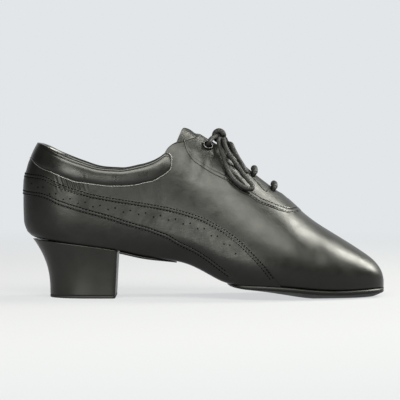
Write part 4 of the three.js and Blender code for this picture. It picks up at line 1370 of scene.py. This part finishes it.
# Knot
KNOT = Vector((106.0, 3.0, 125.9))
KNOT_TURNS = 2.1
KNOT_STEPS = 40
KNOT_STRAND = 2.05
knot_leads = []
for side in (OUTER, INNER):
    near = laid(side, *EYELET_SPOT, 1.1)
    normal = normal_at(side, *EYELET_SPOT)
    beside = KNOT + Vector((-1.5, side * 2.8, -0.55)) * LACE
    knot_leads.append([near - normal * 1.0, near + normal * 1.05 * LACE, beside])
lead, _, _ = tube("knot_leads", knot_leads[0] + [KNOT] + knot_leads[1][::-1], LACE / 2)
finished(lead, "lace", lace_cord)
turns = []
for k in range(KNOT_STEPS):
    share = k / (KNOT_STEPS - 1)
    turn = math.tau * KNOT_TURNS * k / (KNOT_STEPS - 1)
    turns.append(KNOT + Vector((3.6 * math.cos(turn), mix(-3.4, 3.4, share), 3.7 * math.sin(turn))))
wrap, _, _ = tube("knot_turns", turns, KNOT_STRAND)
finished(wrap, "lace", lace_cord)
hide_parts("lace_knot")
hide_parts("lace_knot")


# Seams: places along a line of the side view, moved across it and spaced evenly
def seam_places(line, side, first, final, offset, pitch):
    count = max(8, round(abs(final - first) / 0.8))
    raw = [(u, crossing(line, side, u)) for u in stations(first, final, count)]
    moved = []
    for k, (u, z) in enumerate(raw):
        before = raw[max(k - 1, 0)]
        after = raw[min(k + 1, count)]
        du, dz = after[0] - before[0], after[1] - before[1]
        size = math.hypot(du, dz)
        moved.append((u - dz / size * offset, z + du / size * offset))
    lengths = [0.0]
    for a, b in zip(moved, moved[1:]):
        lengths.append(lengths[-1] + (skin(side, *b) - skin(side, *a)).length)
    places = []
    k = 0
    for number in range(int(lengths[-1] / pitch)):
        wanted = (number + 0.5) * pitch
        while lengths[k + 1] < wanted:
            k += 1
        share = (wanted - lengths[k]) / (lengths[k + 1] - lengths[k])
        places.append(tuple(mix(a, b, share) for a, b in zip(moved[k], moved[k + 1])))
    return places


BATCH = 40


def grains(name, material, spots):
    """Small grains lying on the skin, as one piece; a spot is side, place, next place, out, size"""
    whole = bmesh.new()
    for start in range(0, len(spots), BATCH):
        batch = bmesh.new()
        for side, place, ahead, out, size in spots[start:start + BATCH]:
            normal = normal_at(side, *place)
            along = skin(side, *ahead) - skin(side, *place)
            along = (along - normal * along.dot(normal)).normalized()
            turn = Matrix((along, normal.cross(along), normal)).transposed().to_4x4()
            scale = Matrix.Diagonal((*[s * MM / 2 for s in size], 1))
            where = Matrix.Translation(laid(side, *place, out) * MM) @ turn @ scale
            bmesh.ops.create_uvsphere(batch, u_segments=6, v_segments=4, radius=1.0, matrix=where)
        carrier = bpy.data.meshes.new(name)
        batch.to_mesh(carrier)
        batch.free()
        whole.from_mesh(carrier)
        bpy.data.meshes.remove(carrier)
    return finished(piece_of(name, whole), "upper_leather", material)


STITCH = (2.1, 0.82, 0.5)
STITCH_PITCH = 2.5
STITCH_OUT = 0.42
SEAM_ROWS = [
    # line, first and last place, offset
    (wing_top, U_BACK, x_of(0.7), -SEAM_FIRST),
    (wing_top, U_BACK, x_of(0.695), -SEAM_SECOND),
    (wing_foot, U_BACK, x_of(0.575), SEAM_FIRST),
    (wing_foot, U_BACK, x_of(0.565), SEAM_SECOND),
    (facing_edge, x_of(0.55), x_of(0.764), SEAM_FIRST),
    (facing_edge, x_of(0.55), x_of(0.76), SEAM_SECOND),
]
spots = []
for line, first, final, offset in SEAM_ROWS:
    for side in (OUTER, INNER):
        places = seam_places(line, side, first, final, offset, STITCH_PITCH)
        spots += [(side, place, ahead, STITCH_OUT, STITCH) for place, ahead in zip(places, places[1:])]
grains("seam_stitches", thread, spots)

# Pinholes along the wing's upper seam, in a zigzag: near-black discs, painted shade of the holes
PINHOLE = (1.35, 1.35, 0.12)
PINHOLE_OUT = 0.55
PINHOLE_PITCH = 11.8
spots = []
for side in (OUTER, INNER):
    for offset, start in ((-7.8, 0.0), (-9.8, PINHOLE_PITCH / 2)):
        places = seam_places(wing_top, side, U_BACK + 12 + start, x_of(0.66), offset, PINHOLE_PITCH)
        spots += [(side, place, ahead, PINHOLE_OUT, PINHOLE) for place, ahead in zip(places, places[1:])]
grains("pinholes", painted_hole_shade, spots)

# Near-black discs at the lace holes and under the eyelet: painted shade of the holes
LACE_HOLE = (5.2, 5.2, 0.4)
EYELET_HOLE = (5.6, 5.6, 0.7)
spots = []
for side in (OUTER, INNER):
    for at in LACE_ROWS:
        x, z = lace_spot(side, at)
        spots.append((side, (x, z), (x + 1, z), 0.5, LACE_HOLE))
    x, z = EYELET_SPOT
    spots.append((side, (x, z), (x + 1, z), 0.9, EYELET_HOLE))
grains("lace_holes", painted_hole_shade, spots)


# The thin turned edge below the collar and round its front, lighter than the calf as a painted highlight,
# and the dark slit beside the lace, a tube of painted shade
EDGE_BEAD = 0.36
EDGE_BEAD_OUT = 0.25
SLIT_FROM = 0.604
SLIT_TO = 0.667
SLIT_STEPS = 12
SLIT_RADIUS = 0.42
SLIT_OUT = 0.3


def skin_tube(name, side, places, out, radius, step, material):
    made, _, _ = tube(name, [laid(side, *place, out) for place in places], radius, step)
    return finished(made, "upper_leather", material)


for side, word in ((OUTER, "outer"), (INNER, "inner")):
    places = seam_places(collar_seam, side, U_BACK - 1, x_of(0.4105), -0.55, 1.5)
    places += [(x_of(at + 0.002), height_on(x_of(at), up)) for at, up in reversed(COLLAR_FRONT[1:-1])]
    skin_tube("collar_edge_" + word, side, places, EDGE_BEAD_OUT, EDGE_BEAD, 1.0, bead_gloss_and_painted_highlight)
    # The slit: a near-black tube on the facing's groove, painted shade in the cut
    cut = [SLIT_FROM + (SLIT_TO - SLIT_FROM) * k / SLIT_STEPS for k in range(SLIT_STEPS + 1)]
    places = [(x_of(at), height_on(x_of(at), slit_line(at))) for at in cut]
    x, z = places[-1]
    places += [(x + 1.0, z - 0.1), (x + 1.9, z + 0.7)]
    skin_tube("slit_" + word, side, places, SLIT_OUT, SLIT_RADIUS, 0.5, painted_hole_shade)

# Floor and light
BACKDROP = (0.76, 0.79, 0.81)
DARK_ROOM = (0.022, 0.024, 0.025)
NEAR_FLOOR = (0.6, 0.61, 0.62)
FLOOR_FADE = (0.35, 1.1)
FLOOR_RADIUS = 8.0
floor_maker = bmesh.new()
bmesh.ops.create_circle(floor_maker, cap_ends=True, segments=96, radius=FLOOR_RADIUS)
floor = piece_of("floor", floor_maker, False)
floor_finish = Finish("floor", {"Roughness": 0.9, "Specular IOR Level": 0.0, "Emission Strength": 1.0})
reach = floor_finish.node("ShaderNodeVectorMath", {"operation": "LENGTH"}, {0: floor_finish.coords()}, 1)
fading = floor_finish.between(reach, *FLOOR_FADE, 0, 1)
floor_finish.feed("Base Color", floor_finish.colours(fading, (0.07, 0.07, 0.07), (0, 0, 0)))
floor_finish.feed("Emission Color", floor_finish.colours(fading, NEAR_FLOOR, BACKDROP))
floor.data.materials.append(floor_finish.material)

# The studio: a light backdrop behind the shoe, a dark room on the photographer's side
world = bpy.data.worlds.new("studio")
bpy.context.scene.world = world
world.use_nodes = True
nodes, links = world.node_tree.nodes, world.node_tree.links
ways = nodes.new("ShaderNodeTexCoord")
parts = nodes.new("ShaderNodeSeparateXYZ")
room = nodes.new("ShaderNodeValToRGB")
room.color_ramp.interpolation = "EASE"
room.color_ramp.elements[0].position = 0.5
room.color_ramp.elements[0].color = (*DARK_ROOM, 1)
room.color_ramp.elements[1].position = 0.96
room.color_ramp.elements[1].color = (*BACKDROP, 1)
links.new(ways.outputs["Generated"], parts.inputs[0])
links.new(parts.outputs[1], room.inputs[0])
links.new(room.outputs[0], nodes["Background"].inputs["Color"])
bpy.context.scene.view_settings.view_transform = "Standard"

LIGHT_COLOUR = (1, 1, 0.9)
SHOE_MIDDLE = Vector((0.1, 0, 0.07))


def area_light(name, place, width, depth, power):
    data = bpy.data.lights.new(name, "AREA")
    data.shape = "RECTANGLE"
    data.size = width
    data.size_y = depth
    data.energy = power
    data.color = LIGHT_COLOUR
    lamp = bpy.data.objects.new(name, data)
    bpy.context.scene.collection.objects.link(lamp)
    lamp.location = place
    lamp.rotation_euler = (SHOE_MIDDLE - Vector(place)).to_track_quat("-Z", "Y").to_euler()


area_light("right_top", (1.06, 0.3, 0.76), 0.5, 0.85, 48)
area_light("overhead_front", (0.15, -0.7, 0.84), 1.2, 0.65, 38)
area_light("front_left", (-0.36, -1.2, 0.17), 0.5, 0.28, 8.5)
